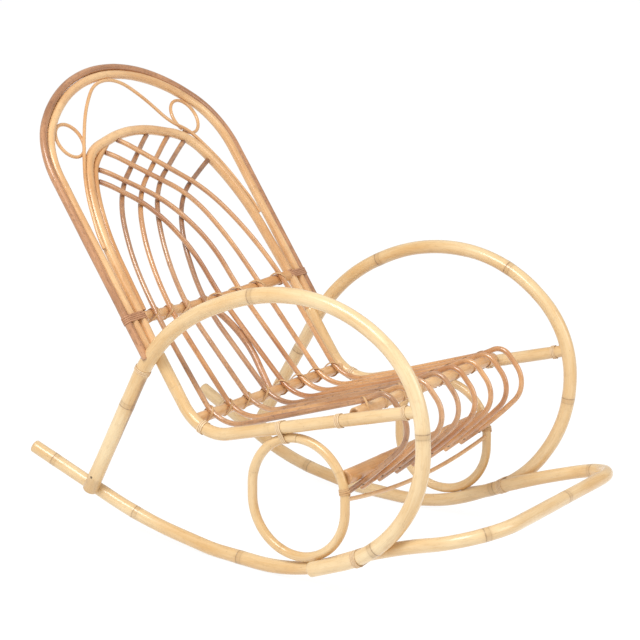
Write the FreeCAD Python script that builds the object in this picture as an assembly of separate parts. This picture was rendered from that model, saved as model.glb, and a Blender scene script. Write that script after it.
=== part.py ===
import FreeCAD, Part
import math
import os

V = FreeCAD.Vector
os.makedirs("parts", exist_ok=True)

# Rattan rocking chair. Millimetres, X across, Y from front to back, Z up, floor at Z zero.
# The sitter looks along -Y, so the sitter's right is the -X side.

# Pole diameters
HOOP_D = 30.0
HOOP_LEFT_D = 27.0
RUNNER_D = 26.0
RAIL_D = 24.0
BAR_D = 22.0
LOWER_BAR_D = 28.0
INNER_ARCH_D = 20.0
OUTER_ARCH_D = 18.0
TRIM_D = 15.0
LINER_D = 12.6
RIB_D = 10.5
RING_D = 18.0
STRUT_D = 14.0
STRAND_D = 7.0
BOWED_D = 8.0
PEEL_D = 3.2
THIN_PEEL_D = 2.4
NAIL_D = 5.0

# Clearance between two poles that touch
FIT = 0.1

# Side view: the corner of seat and back, rake of the back, slope of the seat
CORNER_Y = 99.0
CORNER_Z = 236.0
RAKE = 33.14
SEAT_SLOPE = 14.25
CORNER_R = 95.0

# Arm hoops: plane of the right pole and outlines in side view, from above the foot round to the tail
HOOP_X = 285.0
FOOT_Y = 345.0
HOOP_RIGHT = ((165, 446), (-62, 540), (-245, 528), (-392, 413), (-402, 217), (-304, 82), (-165, 33))
HOOP_LEFT = ((139, 450), (-60, 544), (-252, 527), (-392, 401), (-400, 229), (-293, 70), (-165, 33))

# Runner pole: outline in side view from rear tip to front bend, and its splay past the hoop's tail
# The chair comes to rest on the straight stretch between the two rest points
RUNNER_TIP = (485, 167)
RUNNER_REAR = (240, 51.5)
REST_REAR = (78, 19.7)
REST_FRONT = (-118, 7.7)
REST_R = 300.0
RUNNER_FRONT = (-296, 87)
FRONT_BEND = (-523, 151)
TIE_Y = -263.0
TIP_SPLAY = 24.0
WAIST_SPLAY = -4.5
FRONT_SPLAY = 28.0

# Arches of the back, drawn in its plane as X and height up the slope from the corner
INNER_ARCH = ((243, 421), (211, 520), (162, 598))
INNER_TOP = 638.0
OUTER_ARCH_X = 279.5
OUTER_SPRING = 554.0
OUTER_RISE = 201.0
OUTER_SIDE_R = 150.0
STRAND_END = 400.0
LINER_END_X = 88.0

# Pointed strand: X, and height as a share of the space between the tops of the two arches
STRAND_RIGHT = ((-176, -0.31), (-114, 0.393), (-52, 0.9))
STRAND_LEFT = ((160, -0.29), (114, -0.085), (66, 0.48), (20, 0.9))

# Scroll rings: angle round the middle of the outer arch's top, share of the free width they fill
SCROLL_RIGHT = (132.5, 0.95)
SCROLL_LEFT = (51.3, 0.82)

# The inner arch and the ribs stand a little to the sitter's right at their top
LEAN = 9.0

# The strand lies just in front of the back's plane and the scroll rings just behind it
STRAND_Q = 3.6

# Crossbars
BACK_BAR_T = 254.0
BACK_BAR_BOW = 31.0
REAR_BAR = (114.5, 267.0)
FRONT_BAR = (-240.0, 330.0)
LOWER_BAR_ANGLE = 152.0
BOWED_ANGLE = 173.0
BOWED_SAG = 21.0
STRUT_TOP_X = -12.0
STRUT_BOW = 45.0

# Side rings
RING_X = 264.0
RING_Y = -124.0
RING_HALF = 101.0

# Ribs: spacing, top and two upper bends of each by the way it leans, lattice depth, seat corner
RIB_PITCH = 62.0
RIB_LEFTWARD = (
    (54, (-128, 503), (-179, 382)),
    (113, (-72, 495), (-127, 387)),
    (155, (-17, 498), (-77, 378)),
    (199, (57, 477), (-5, 394)),
)
RIB_RIGHTWARD = (
    (71, (-128, 473), (-187, 372)),
    (119, (-71, 468), (-117, 366)),
    (162, (7, 465), (-59, 359)),
    (178, (62, 460), (7, 356)),
)
RIB_FRONT_Q = -6.4
RIB_REAR_Q = 5.4
RIB_CORNER = (78.0, 250.0)
RIB_CORNER_R = 80.0

# Derived radii and places
rake = math.radians(RAKE)
slope = math.radians(SEAT_SLOPE)
hoop_r = HOOP_D / 2
hoop_left_r = HOOP_LEFT_D / 2
runner_r = RUNNER_D / 2
rail_r = RAIL_D / 2
bar_r = BAR_D / 2
inner_r = INNER_ARCH_D / 2
outer_r = OUTER_ARCH_D / 2
trim_r = TRIM_D / 2
liner_r = LINER_D / 2
rib_r = RIB_D / 2
ring_r = RING_D / 2
lower_r = LOWER_BAR_D / 2
runner_x = HOOP_X - hoop_r - runner_r - FIT
rail_x = HOOP_X - hoop_r - rail_r - FIT
hoop_left_x = HOOP_X - hoop_r + hoop_left_r
trim_step = outer_r + trim_r + FIT
rest_angle = math.atan2(REST_REAR[1] - REST_FRONT[1], REST_REAR[0] - REST_FRONT[0])


def turned(y, z):
    """Side view turned back until the runner's rest stretch is level."""
    c = math.cos(rest_angle)
    s = math.sin(rest_angle)
    return y * c + z * s, z * c - y * s


trim_top = OUTER_SPRING + OUTER_RISE + trim_step
trim_top_yz = (CORNER_Y + trim_top * math.sin(rake), CORNER_Z + trim_top * math.cos(rake))
front_edge = turned(*FRONT_BEND)[0] - runner_r
rear_edge = turned(*trim_top_yz)[0] + trim_r
y_mid = (front_edge + rear_edge) / 2
floor_z = turned(*REST_FRONT)[1] - runner_r


def at(x, y, z):
    """Point of the side view set on the floor, the chair's length centred on Y zero."""
    y, z = turned(y, z)
    return V(x, y - y_mid, z - floor_z)


# Directions of the side view as the chair stands
rear_way = at(0, 1, 0) - at(0, 0, 0)
up_way = at(0, 0, 1) - at(0, 0, 0)


def back(x, t, q=0.0):
    """Point in the plane of the back: across, up the slope, and rearward of the plane."""
    y = CORNER_Y + t * math.sin(rake) + q * math.cos(rake)
    z = CORNER_Z + t * math.cos(rake) - q * math.sin(rake)
    return at(x, y, z)


def rounded(points, limit=None):
    """Straight runs joined by the largest tangent arcs; limit holds smaller radii by corner."""
    limit = limit or {}
    last_corner = len(points) - 2
    run = [(b - a).Length for a, b in zip(points, points[1:])]
    edges = []
    here = points[0]
    for i in range(1, last_corner + 1):
        a = (points[i - 1] - points[i]).normalize()
        b = (points[i + 1] - points[i]).normalize()
        half = (math.pi - a.getAngle(b)) / 2
        if half < 0.0005:
            continue
        before = run[i - 1] * (1.0 if i == 1 else 0.5)
        after = run[i] * (1.0 if i == last_corner else 0.5)
        radius = min(before, after) / math.tan(half)
        radius = min(radius, limit.get(i, radius))
        reach = radius * math.tan(half)
        start = points[i] + a * reach
        end = points[i] + b * reach
        mid = points[i] + (a + b).normalize() * (radius / math.cos(half) - radius)
        if (start - here).Length > 0.02:
            edges.append(Part.LineSegment(here, start).toShape())
        else:
            start = here
        edges.append(Part.Arc(start, mid, end).toShape())
        here = end
    if (points[-1] - here).Length > 0.02:
        edges.append(Part.LineSegment(here, points[-1]).toShape())
    return Part.Wire(edges)


def tube(path, diameter):
    """Round pole along a path of lines and tangent arcs."""
    edge = path.OrderedEdges[0]
    first = path.OrderedVertexes[0].Point
    ahead = edge.tangentAt(edge.FirstParameter)
    ring = Part.Wire(Part.Circle(first, ahead, diameter / 2).toShape())
    solid = path.makePipeShell([ring], True, False)
    if solid.Volume < 0:
        solid.reverse()
    return solid


def coped(solid, *tools):
    """Pole with its ends fitted round other poles; the body of the pole is kept."""
    for path, diameter in tools:
        solid = solid.cut(tube(path, diameter + 2 * FIT))
        solid = max(solid.Solids, key=lambda s: s.Volume)
    return solid


def mirrored(shape):
    return shape.mirror(V(0, 0, 0), V(1, 0, 0))


def offset(points, distance):
    """Open outline moved to its left by a distance, with mitred corners."""
    lines = []
    for (ax, ay), (bx, by) in zip(points, points[1:]):
        length = math.hypot(bx - ax, by - ay)
        lines.append((-(by - ay) / length, (bx - ax) / length))
    moved = []
    for i, (x, y) in enumerate(points):
        n0 = lines[max(i - 1, 0)]
        n1 = lines[min(i, len(lines) - 1)]
        k = distance / (1 + n0[0] * n1[0] + n0[1] * n1[1])
        moved.append((x + k * (n0[0] + n1[0]), y + k * (n0[1] + n1[1])))
    return moved


def gap(a, b):
    return a.distToShape(b)[0]


def meet(line, path):
    """Point of a path nearest to a straight line."""
    return path.distToShape(line)[1][0][0]


def winding(centre, axis, across, half_across, half_deep, diameter, turns, pitch):
    """Open coil of whole turns round one or two poles, oval where the two halves differ."""
    axis = V(axis).normalize()
    across = V(across).normalize()
    deep = axis.cross(across)
    corners = ((1, -1), (1, 1), (-1, 1), (-1, -1))
    points = [centre - axis * (turns * pitch / 2) - deep * half_deep]
    rise = pitch / 4
    for i in range(4 * turns):
        a, d = corners[i % 4]
        level = axis * (rise * (i + 0.5) - turns * pitch / 2)
        points.append(centre + level + across * (a * half_across) + deep * (d * half_deep))
    points.append(centre + axis * (turns * pitch / 2) - deep * half_deep)
    coil_gaps.append(pitch * math.cos(math.atan(pitch / (8 * min(half_across, half_deep)))) - diameter)
    return tube(rounded(points), diameter)


coil_gaps = []
nodes = {}

# Runner pole, both sides and the front in one length
runner_half = [
    at(-runner_x - TIP_SPLAY, *RUNNER_TIP),
    at(-runner_x - WAIST_SPLAY, *RUNNER_REAR),
    at(-runner_x - WAIST_SPLAY, *REST_REAR),
    at(-runner_x, *REST_FRONT),
    at(-runner_x, *RUNNER_FRONT),
    at(-runner_x - FRONT_SPLAY, *FRONT_BEND),
]
runner_points = runner_half + [V(-p.x, p.y, p.z) for p in reversed(runner_half)]
runner_path = rounded(runner_points, {2: REST_R, len(runner_points) - 3: REST_R})
nodes["runner"] = [tube(runner_path, RUNNER_D)]
foot_share = (FOOT_Y - RUNNER_REAR[0]) / (RUNNER_TIP[0] - RUNNER_REAR[0])
foot_z = RUNNER_REAR[1] + foot_share * (RUNNER_TIP[1] - RUNNER_REAR[1])
seat_ahead = up_way * math.sin(slope) - rear_way * math.cos(slope)


class Side:
    """Hoop and seat rail of one side, and where they meet each other and the back."""

    def __init__(self, sign, x, diameter, outline):
        self.sign = sign
        self.points = [at(sign * x, FOOT_Y, foot_z)] + [at(sign * x, *p) for p in outline]
        self.hoop_path = rounded(self.points)
        self.hoop_d = diameter
        self.hoop = coped(tube(self.hoop_path, diameter), (runner_path, RUNNER_D))
        self.leg_up = (self.points[1] - self.points[0]).normalize()
        slope_line = Part.LineSegment(back(sign * x, 0), back(sign * x, OUTER_SPRING)).toShape()
        self.crossing = meet(slope_line, self.hoop_path)
        self.join_t = (self.crossing - back(sign * x, 0)).Length
        corner = back(sign * x, 0)
        seat_line = Part.LineSegment(corner, corner + seat_ahead * 700).toShape()
        self.rail_front = meet(seat_line, self.hoop_path)


right = Side(-1, HOOP_X, HOOP_D, HOOP_RIGHT)
left = Side(1, hoop_left_x, HOOP_LEFT_D, HOOP_LEFT)
nodes["hoop_right"] = [right.hoop]
nodes["hoop_left"] = [left.hoop]
join_t = right.join_t

# Seat rails, the front end coped on the hoop and the upper end level with the right hoop's leg
for side in (right, left):
    rail_corner = back(side.sign * rail_x, 0)
    rail_points = [side.rail_front, rail_corner, back(side.sign * rail_x, join_t - FIT / 2)]
    side.rail_run = (side.rail_front - rail_corner).normalize()
    side.rail_path = rounded(rail_points, {1: CORNER_R})
    side.rail = coped(tube(side.rail_path, RAIL_D), (side.hoop_path, side.hoop_d))
nodes["seat_rail_right"] = [right.rail]
nodes["seat_rail_left"] = [left.rail]
both_rails = ((right.rail_path, RAIL_D), (left.rail_path, RAIL_D))


def leaned(x, t, q=0.0):
    """Point of the back moved sideways by the lean of the inner arch at its height."""
    share = max(t - join_t, 0.0) / (INNER_TOP - join_t)
    return back(x - LEAN * share, t, q)


# Inner arch
inner_side = [(-rail_x, join_t + FIT / 2)] + [(-x, t) for x, t in INNER_ARCH]
inner_half = inner_side + [(0, INNER_TOP)]
inner_points = inner_half + [(-x, t) for x, t in reversed(inner_side)]
inner_path = rounded([leaned(x, t) for x, t in inner_points])
nodes["inner_arch"] = [tube(inner_path, INNER_ARCH_D)]


def three_centred(step):
    """Arch of two side arcs and one top arc, moved outward by a step."""
    a = OUTER_ARCH_X
    r = OUTER_SIDE_R
    top_r = (a * a + OUTER_RISE ** 2 - 2 * a * r) / (2 * (OUTER_RISE - r))
    top_t = OUTER_SPRING + OUTER_RISE - top_r
    turn = math.atan2(top_r - OUTER_RISE, a - r)

    def side(angle, sign):
        x = a - r + (r + step) * math.cos(angle)
        return back(sign * x, OUTER_SPRING + (r + step) * math.sin(angle))

    edges = [Part.LineSegment(back(-a - step, right.join_t), side(0, -1)).toShape()]
    edges.append(Part.Arc(side(0, -1), side(turn / 2, -1), side(turn, -1)).toShape())
    edges.append(Part.Arc(side(turn, -1), back(0, top_t + top_r + step), side(turn, 1)).toShape())
    edges.append(Part.Arc(side(turn, 1), side(turn / 2, 1), side(0, 1)).toShape())
    edges.append(Part.LineSegment(side(0, 1), back(a + step, left.join_t)).toShape())
    return Part.Wire(edges)


# Outer arch and the dark trim round it, both standing on the hoops' legs
up_back = back(0, 1) - back(0, 0)
outer_path = three_centred(0.0)
trim_path = three_centred(trim_step)
legs = ((right.hoop_path, right.hoop_d), (left.hoop_path, left.hoop_d))
nodes["outer_arch"] = [coped(tube(outer_path, OUTER_ARCH_D), *legs)]
nodes["trim_arch"] = [coped(tube(trim_path, TRIM_D), *legs)]

# Pointed strand, tangent to the inner arch at both sides and under the outer arch's top
strand_gap = inner_r + STRAND_D / 2 + FIT
reach_outer = outer_r + STRAND_D / 2 + FIT
crest = OUTER_SPRING + OUTER_RISE - INNER_TOP
strand_right = [(x, INNER_TOP + share * crest) for x, share in STRAND_RIGHT]
strand_left = [(x, INNER_TOP + share * crest) for x, share in STRAND_LEFT]
push = 0.0
top_drop = 0.0
for _ in range(8):
    beside = offset(inner_half[1:3][::-1] + [inner_half[0]], -(strand_gap + 0.8))
    low = beside[1]
    end = beside[2]
    share = (low[1] - STRAND_END) / (low[1] - end[1])
    foot = (low[0] + share * (end[0] - low[0]), STRAND_END)
    lower = [foot, low, beside[0]]
    right_leg = [(x - 0.8 * push, t + 0.6 * push) for x, t in strand_right[:-1]]
    left_leg = [(x + 0.8 * push, t + 0.6 * push) for x, t in strand_left[:-1]]
    upper = right_leg + [strand_right[-1], strand_left[-1]] + left_leg[::-1]
    upper = [(x, min(t, strand_left[-1][1] - top_drop)) for x, t in upper]
    outline = [leaned(x, t, -STRAND_Q) for x, t in lower]
    outline += [back(x, t, -STRAND_Q) for x, t in upper]
    outline += [leaned(-x, t, -STRAND_Q) for x, t in reversed(lower)]
    strand_path = rounded(outline)
    push += strand_gap - gap(strand_path, inner_path)
    top_drop += reach_outer - gap(strand_path, outer_path.OrderedEdges[2])
nodes["pointed_strand"] = [tube(strand_path, STRAND_D)]


def scroll_path(centre, radius):
    """Nearly closed ring, its two ends facing each other on the side of the strand."""
    start = 0.8 if centre[0] < 0 else math.pi - 0.8
    spokes = [-start + 0.05 + (2 * math.pi - 0.1) * k / 4 for k in range(5)]
    rim = []
    for a in spokes:
        rim.append(back(centre[0] + radius * math.cos(a), centre[1] + radius * math.sin(a), STRAND_Q))
    return Part.Wire([Part.Arc(*rim[0:3]).toShape(), Part.Arc(*rim[2:5]).toShape()])


# Scroll rings, each touching the outer arch from inside, clear of the inner arch and on the strand
top_arc = outer_path.OrderedEdges[2].Curve
top_middle = (top_arc.Center - back(0, 0)).dot(up_back)
for name, (degrees, fill) in (("scroll_ring_right", SCROLL_RIGHT), ("scroll_ring_left", SCROLL_LEFT)):
    ray = (math.cos(math.radians(degrees)), math.sin(math.radians(degrees)))
    radius = crest / 3
    reach = top_arc.Radius - reach_outer - radius
    for _ in range(16):
        centre = (reach * ray[0], top_middle + reach * ray[1])
        path = scroll_path(centre, radius)
        clear = gap(Part.Vertex(back(*centre)), inner_path) - strand_gap
        reach += gap(path, outer_path) - reach_outer
        radius += 0.4 * (fill * clear - radius)
    nodes[name] = [tube(path, STRAND_D)]

# Back crossbar, bowed to the rear between the sides of the inner arch
level_line = Part.LineSegment(back(-2 * HOOP_X, BACK_BAR_T), back(0, BACK_BAR_T)).toShape()
bar_end = meet(level_line, inner_path)
bar_half = -bar_end.x - 0.45 * inner_r
bar_mid = -LEAN * (BACK_BAR_T - join_t) / (INNER_TOP - join_t)
bar_half += bar_mid
bar_points = [back(bar_mid - bar_half, BACK_BAR_T), back(bar_mid, BACK_BAR_T, 2 * BACK_BAR_BOW)]
bar_points.append(back(bar_mid + bar_half, BACK_BAR_T))
back_bar_path = rounded(bar_points)
strapped = INNER_ARCH_D + 2 * (PEEL_D + 5 * FIT)
nodes["back_crossbar"] = [coped(tube(back_bar_path, BAR_D), (inner_path, strapped))]

# Liner pole inside the inner arch, standing on the back crossbar
push = 0.0
liner_gap = inner_r + liner_r + FIT
for _ in range(6):
    inside = offset(inner_half, -(liner_gap + push))
    liner_t = BACK_BAR_T + bar_r + FIT
    share = (liner_t - inside[0][1]) / (inside[1][1] - inside[0][1])
    low_x = inside[0][0] + share * (inside[1][0] - inside[0][0])
    rise = (inside[4][1] - inside[3][1]) / (inside[4][0] - inside[3][0])
    liner_end = (-LINER_END_X, inside[3][1] + rise * (-LINER_END_X - inside[3][0]))
    liner_points = [(low_x, liner_t)] + inside[1:4] + [liner_end]
    liner_path = rounded([leaned(x, t) for x, t in liner_points])
    push += liner_gap - gap(liner_path, inner_path)
nodes["liner"] = [tube(liner_path, LINER_D)]

# Rear and front seat crossbars between the rails
def between_rails(y, z):
    """Straight centre line from one rail to the other."""
    line = Part.LineSegment(at(-rail_x - rail_r, y, z), at(rail_x + rail_r, y, z))
    return Part.Wire([line.toShape()])


rear_bar_path = between_rails(*REAR_BAR)
front_bar_path = between_rails(*FRONT_BAR)
nodes["rear_seat_crossbar"] = [coped(tube(rear_bar_path, BAR_D), *both_rails)]
nodes["front_seat_crossbar"] = [coped(tube(front_bar_path, BAR_D), *both_rails)]

# Side rings, each a slightly tall oval touching the rail above and the runner below
ring_half_z = RING_HALF + 8.0
ring_z = 156.0
for _ in range(12):
    low_z = ring_z - ring_half_z
    high_z = ring_z + ring_half_z
    corners = ((-1, high_z), (-1, low_z), (1, low_z), (1, high_z))
    rim = [at(-RING_X, RING_Y - 1.5, high_z)]
    rim += [at(-RING_X, RING_Y + side * RING_HALF, z) for side, z in corners]
    rim += [at(-RING_X, RING_Y + 1.5, high_z)]
    ring_path = rounded(rim)
    up_error = gap(ring_path, right.rail_path) - (ring_r + rail_r + FIT)
    down_error = gap(ring_path, runner_path) - (ring_r + runner_r + FIT)
    ring_half_z += (up_error + down_error) / 2
    ring_z += (up_error - down_error) / 2
ring = tube(ring_path, RING_D)
nodes["side_ring_right"] = [ring]
nodes["side_ring_left"] = [mirrored(ring)]
ring_left_path = mirrored(ring_path)
both_rings = ((ring_path, RING_D), (ring_left_path, RING_D))


def on_ring(degrees, x=-RING_X, beyond=0.0):
    """Point of the ring's centre line on a ray from its middle, and the way the ring runs there."""
    a = math.radians(degrees)
    middle = at(-RING_X, RING_Y, ring_z)
    ray = rear_way * math.cos(a) + up_way * math.sin(a)
    point = meet(Part.LineSegment(middle, middle + ray * 300).toShape(), ring_path) + ray * beyond
    return V(x, point.y, point.z)


# Lower crossbar and the bowed strand below it, between the rings
lower_at = on_ring(LOWER_BAR_ANGLE, 0, 4.0)
lower_half = RING_X - 0.5 * ring_r
lower_end = V(-lower_half, lower_at.y, lower_at.z)
lower_path = Part.Wire([Part.LineSegment(lower_end, V(lower_half, lower_at.y, lower_at.z)).toShape()])
nodes["lower_crossbar"] = [coped(tube(lower_path, LOWER_BAR_D), *both_rings)]
bowed_end = on_ring(BOWED_ANGLE)
bowed_mid = V(0, bowed_end.y, bowed_end.z) - up_way * (2 * BOWED_SAG)
bowed_path = rounded([bowed_end, bowed_mid, V(-bowed_end.x, bowed_end.y, bowed_end.z)])
nodes["bowed_strand"] = [coped(tube(bowed_path, BOWED_D), *both_rings)]

# Centre strut from the back crossbar to the rear seat crossbar, behind the ribs
strut_line = Part.LineSegment(back(STRUT_TOP_X, BACK_BAR_T), back(STRUT_TOP_X, BACK_BAR_T, 200))
strut_top = meet(strut_line.toShape(), back_bar_path)
strut_foot = at(0, *REAR_BAR)
strut_bend = strut_top * 0.7 + strut_foot * 0.3
strut_bend.x = STRUT_BOW
strut_path = rounded([strut_top, strut_bend, strut_foot])
strut_tools = ((back_bar_path, BAR_D), (rear_bar_path, BAR_D))
nodes["centre_strut"] = [coped(tube(strut_path, STRUT_D), *strut_tools)]

# Ribs, numbered from the sitter's right at the seat's front
rib_bars = (back_bar_path, rear_bar_path, front_bar_path, lower_path)
rib_reach = [bar_r + rib_r + FIT] * 3 + [lower_r + rib_r + FIT]
front_bar_top = (FRONT_BAR[0], FRONT_BAR[1] + bar_r + rib_r)


def rib_points(k, moves):
    """Corner points of rib k counted from the outside; moves shift it off the four bars."""
    top_x, first, second = (RIB_LEFTWARD + RIB_RIGHTWARD)[k]
    sign = 1 if k < 4 else -1
    depth = RIB_REAR_Q if k < 4 else RIB_FRONT_Q
    x = -sign * RIB_PITCH * (3.5 - k % 4)
    on_liner = sign < 0 and top_x > LINER_END_X + RIB_D
    arch = liner_path if on_liner else inner_path
    lean_x = sign * top_x - LEAN
    line = Part.LineSegment(back(lean_x, first[1]), back(lean_x, OUTER_SPRING + OUTER_RISE)).toShape()
    top = meet(line, arch)
    top_t = (top - back(top.x, 0)).Length
    bar_q = BACK_BAR_BOW * (1 - (x / bar_half) ** 2) - bar_r - rib_r
    fy, fz = front_bar_top
    lift = moves[2]
    on_lower = V(x, lower_at.y, lower_at.z) - (rear_way * 0.62 + up_way * 0.79) * moves[3]
    return [
        back(lean_x, top_t, depth),
        back(sign * first[0] - LEAN, first[1], depth),
        back(sign * second[0] - LEAN, second[1], depth),
        back(x - 0.4 * LEAN, BACK_BAR_T, bar_q - moves[0]),
        at(x, RIB_CORNER[0] - 0.84 * moves[1], RIB_CORNER[1] + 0.55 * moves[1]),
        at(x, fy, fz + lift),
        at(x, fy - 42, fz + 23),
        at(x, fy - 103, fz - 49),
        on_lower - rear_way * 50 + up_way * 14,
        on_lower + rear_way * 29 - up_way * 48,
    ]


rib_paths = []
for k in range(8):
    moves = [0.0, 0.0, 0.0, 0.0]
    for _ in range(8):
        path = rounded(rib_points(k, moves), {4: RIB_CORNER_R})
        for i in range(4):
            moves[i] += rib_reach[i] - gap(path, rib_bars[i])
    rib_paths.append(path)
rib_names = [1, 2, 3, 4, 8, 7, 6, 5]
for k, path in enumerate(rib_paths):
    tools = [(inner_path, INNER_ARCH_D)]
    if k >= 4:
        tools.append((liner_path, LINER_D))
    nodes["rib_%d" % rib_names[k]] = [coped(tube(path, RIB_D), *tools)]


def lashing(rib_path, bar_path, diameter, side):
    """Open loop set slantwise over a rib and under its bar, its ends below the bar."""
    info = rib_path.distToShape(bar_path)
    on_rib, on_bar = info[1][0]
    out = (on_rib - on_bar).normalize()
    along = V(1, 0, 0) - out * out.x
    along.normalize()
    cross = out.cross(along)
    slant = math.radians(50)
    w = along * (side * math.cos(slant)) + cross * math.sin(slant)
    wide = bar_r / math.sin(slant) + diameter / 2 + 5 * FIT
    narrow = rib_r / math.cos(slant) + diameter / 2 + FIT
    top = bar_r + FIT + 2 * rib_r + diameter / 2 + FIT
    under = bar_r + diameter / 2 + 5 * FIT
    plan = ((0.12 * wide, -under), (wide, -under), (wide, 0.55 * top), (narrow, top),
            (-narrow, top), (-wide, 0.55 * top), (-wide, -under), (-0.12 * wide, -under))
    points = [on_bar + w * a + out * b for a, b in plan]
    return tube(rounded(points), diameter)


for name, bar in (("back", back_bar_path), ("rear", rear_bar_path), ("front", front_bar_path)):
    nodes["rib_lashings_" + name] = [
        lashing(path, bar, PEEL_D, 1 if k < 4 else -1) for k, path in enumerate(rib_paths)]

# Peel straps and lashings, and thin windings
across = V(1, 0, 0)
strap_pitch = PEEL_D + 0.6
thin_pitch = THIN_PEEL_D + 0.6
outer_side = OUTER_ARCH_X + trim_step + trim_r


def pair(solid):
    return [solid, mirrored(solid)]


def snug(radius, diameter, slack=FIT):
    return radius + diameter / 2 + slack


back_straps = []
for sign in (-1, 1):
    strap_line = Part.LineSegment(back(sign * 2 * HOOP_X, BACK_BAR_T), back(0, BACK_BAR_T)).toShape()
    inner_edge = abs(meet(strap_line, inner_path).x) - inner_r
    strap_at = back(sign * (inner_edge + outer_side) / 2, BACK_BAR_T)
    strap_wide = snug((outer_side - inner_edge) / 2, PEEL_D, 3 * FIT)
    strap_deep = snug(inner_r, PEEL_D)
    back_straps.append(winding(strap_at, up_back, across, strap_wide, strap_deep, PEEL_D, 4, strap_pitch))
nodes["straps_back_crossbar"] = back_straps

rail_round = snug(rail_r, PEEL_D)
bend_round = snug(rail_r, PEEL_D, 3 * FIT)
rear_straps = []
straps = []
front_straps = []
thin_coils = []
leg_wraps = []
ties = []
tie_run = at(0, *RUNNER_FRONT) - at(0, *REST_FRONT)
for side, ring_side in ((right, ring_path), (left, ring_left_path)):
    half_turn = (math.pi - up_back.getAngle(side.rail_run)) / 2
    bend_in = (up_back + side.rail_run).normalize() * (CORNER_R / math.cos(half_turn) - CORNER_R)
    rear_at = back(side.sign * rail_x, 0) + bend_in
    rear_straps.append(winding(
        rear_at, up_back - side.rail_run, across, bend_round, bend_round, PEEL_D, 3, strap_pitch))
    on_ring_point, on_rail_point = ring_side.distToShape(side.rail_path)[1][0]
    stack = (on_rail_point - on_ring_point).normalize()
    stack_at = on_ring_point + stack * ((2 * rail_r + FIT) / 2)
    flat = side.rail_run.cross(stack)
    straps.append(winding(stack_at, side.rail_run, flat, snug(rail_r, PEEL_D, 3 * FIT),
                          snug(rail_r + ring_r, PEEL_D, 4 * FIT), PEEL_D, 3, strap_pitch))
    behind_bar = at(side.rail_front.x, FRONT_BAR[0] + bar_r + 12, FRONT_BAR[1])
    front_at = side.rail_front + side.rail_run * (behind_bar - side.rail_front).dot(side.rail_run)
    front_straps.append(winding(
        front_at, side.rail_run, across, rail_round, rail_round, PEEL_D, 3, strap_pitch))
    thin_at = side.rail_front - side.rail_run * (side.hoop_d / 2 + 3.5 * thin_pitch + 4)
    upright = side.rail_run.cross(across)
    thin_round = snug(rail_r, THIN_PEEL_D)
    thin_coils.append(winding(
        thin_at, side.rail_run, upright, thin_round, thin_round, THIN_PEEL_D, 3, thin_pitch))
    leg_r = side.hoop_d / 2
    leg_x = side.points[0].x
    leg_round = snug(leg_r, THIN_PEEL_D)
    wrap_ends = []
    for drop in (1.6, 1.8):
        level = side.crossing - V(0, 0, drop * leg_r)
        line = Part.LineSegment(level - V(0, leg_r, 0), level + V(0, 4 * leg_r, 0)).toShape()
        wrap_ends.append(meet(line, side.hoop_path))
    wrap_at = (wrap_ends[0] + wrap_ends[1]) / 2
    leg_wraps.append(winding(wrap_at, wrap_ends[0] - wrap_ends[1], across, leg_round, leg_round,
                             THIN_PEEL_D, 3, thin_pitch))
    tie_x = side.sign * runner_x
    tie_line = Part.LineSegment(at(tie_x, TIE_Y, -100), at(tie_x, TIE_Y, 300)).toShape()
    on_runner = meet(tie_line, runner_path)
    tie_line = Part.LineSegment(at(leg_x, TIE_Y, -100), at(leg_x, TIE_Y, 200)).toShape()
    on_hoop = meet(tie_line, side.hoop_path)
    tie_out = abs(leg_x) + leg_r
    tie_in = abs(on_runner.x) - runner_r
    tie_at = V(side.sign * (tie_out + tie_in) / 2, on_runner.y, (on_runner.z + on_hoop.z) / 2)
    tie_wide = snug((tie_out - tie_in) / 2, THIN_PEEL_D)
    tie_deep = snug(leg_r + abs(on_hoop.z - on_runner.z) / 2, THIN_PEEL_D, 8 * FIT)
    ties.append(winding(tie_at, tie_run, across, tie_wide, tie_deep, THIN_PEEL_D, 4, thin_pitch))
nodes["straps_rear_corner"] = rear_straps
nodes["straps_side_ring"] = straps
nodes["straps_front_crossbar"] = front_straps
nodes["windings_rail"] = thin_coils
nodes["lashings_hoop_leg"] = leg_wraps
nodes["windings_runner"] = ties

ring_tie = (LOWER_BAR_ANGLE + BOWED_ANGLE) / 2 + 3
tie_axis = (on_ring(ring_tie - 3) - on_ring(ring_tie + 3)).normalize()
ring_round = snug(ring_r, PEEL_D, 2.5 * FIT)
nodes["lashings_lower_crossbar"] = pair(winding(
    on_ring(ring_tie), tie_axis, across, ring_round, ring_round, PEEL_D, 3, strap_pitch))

# Nails
foot_nails = []
for side in (right, left):
    place = side.points[0] + side.leg_up * (runner_r + 22)
    outward = V(side.sign, 0, 0)
    head = Part.makeCylinder(NAIL_D / 2, 3.0, place + outward * (side.hoop_d / 2 - 1.8), outward)
    foot_nails.append(coped(head, (side.hoop_path, side.hoop_d - 2 * FIT)))
nodes["nails_hoop_feet"] = foot_nails
rib_nails = []
for path in rib_paths:
    low_points = path.distToShape(lower_path)[1][0]
    out = (low_points[0] - low_points[1]).normalize()
    head = Part.makeCylinder(NAIL_D / 2, 3.0, low_points[0] + out * (rib_r - 1.8), out)
    rib_nails.append(coped(head, (path, RIB_D - 2 * FIT)))
nodes["nails_rib_ends"] = rib_nails

# Write one file a node
for name, solids in nodes.items():
    for solid in solids:
        if not solid.isValid() or solid.Volume <= 0:
            raise RuntimeError(name)
    shape = solids[0] if len(solids) == 1 else Part.makeCompound(solids)
    shape.exportStep("parts/%s.step" % name)
print("nodes", len(nodes), "least gap in a coil", round(min(coil_gaps), 2))
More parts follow.
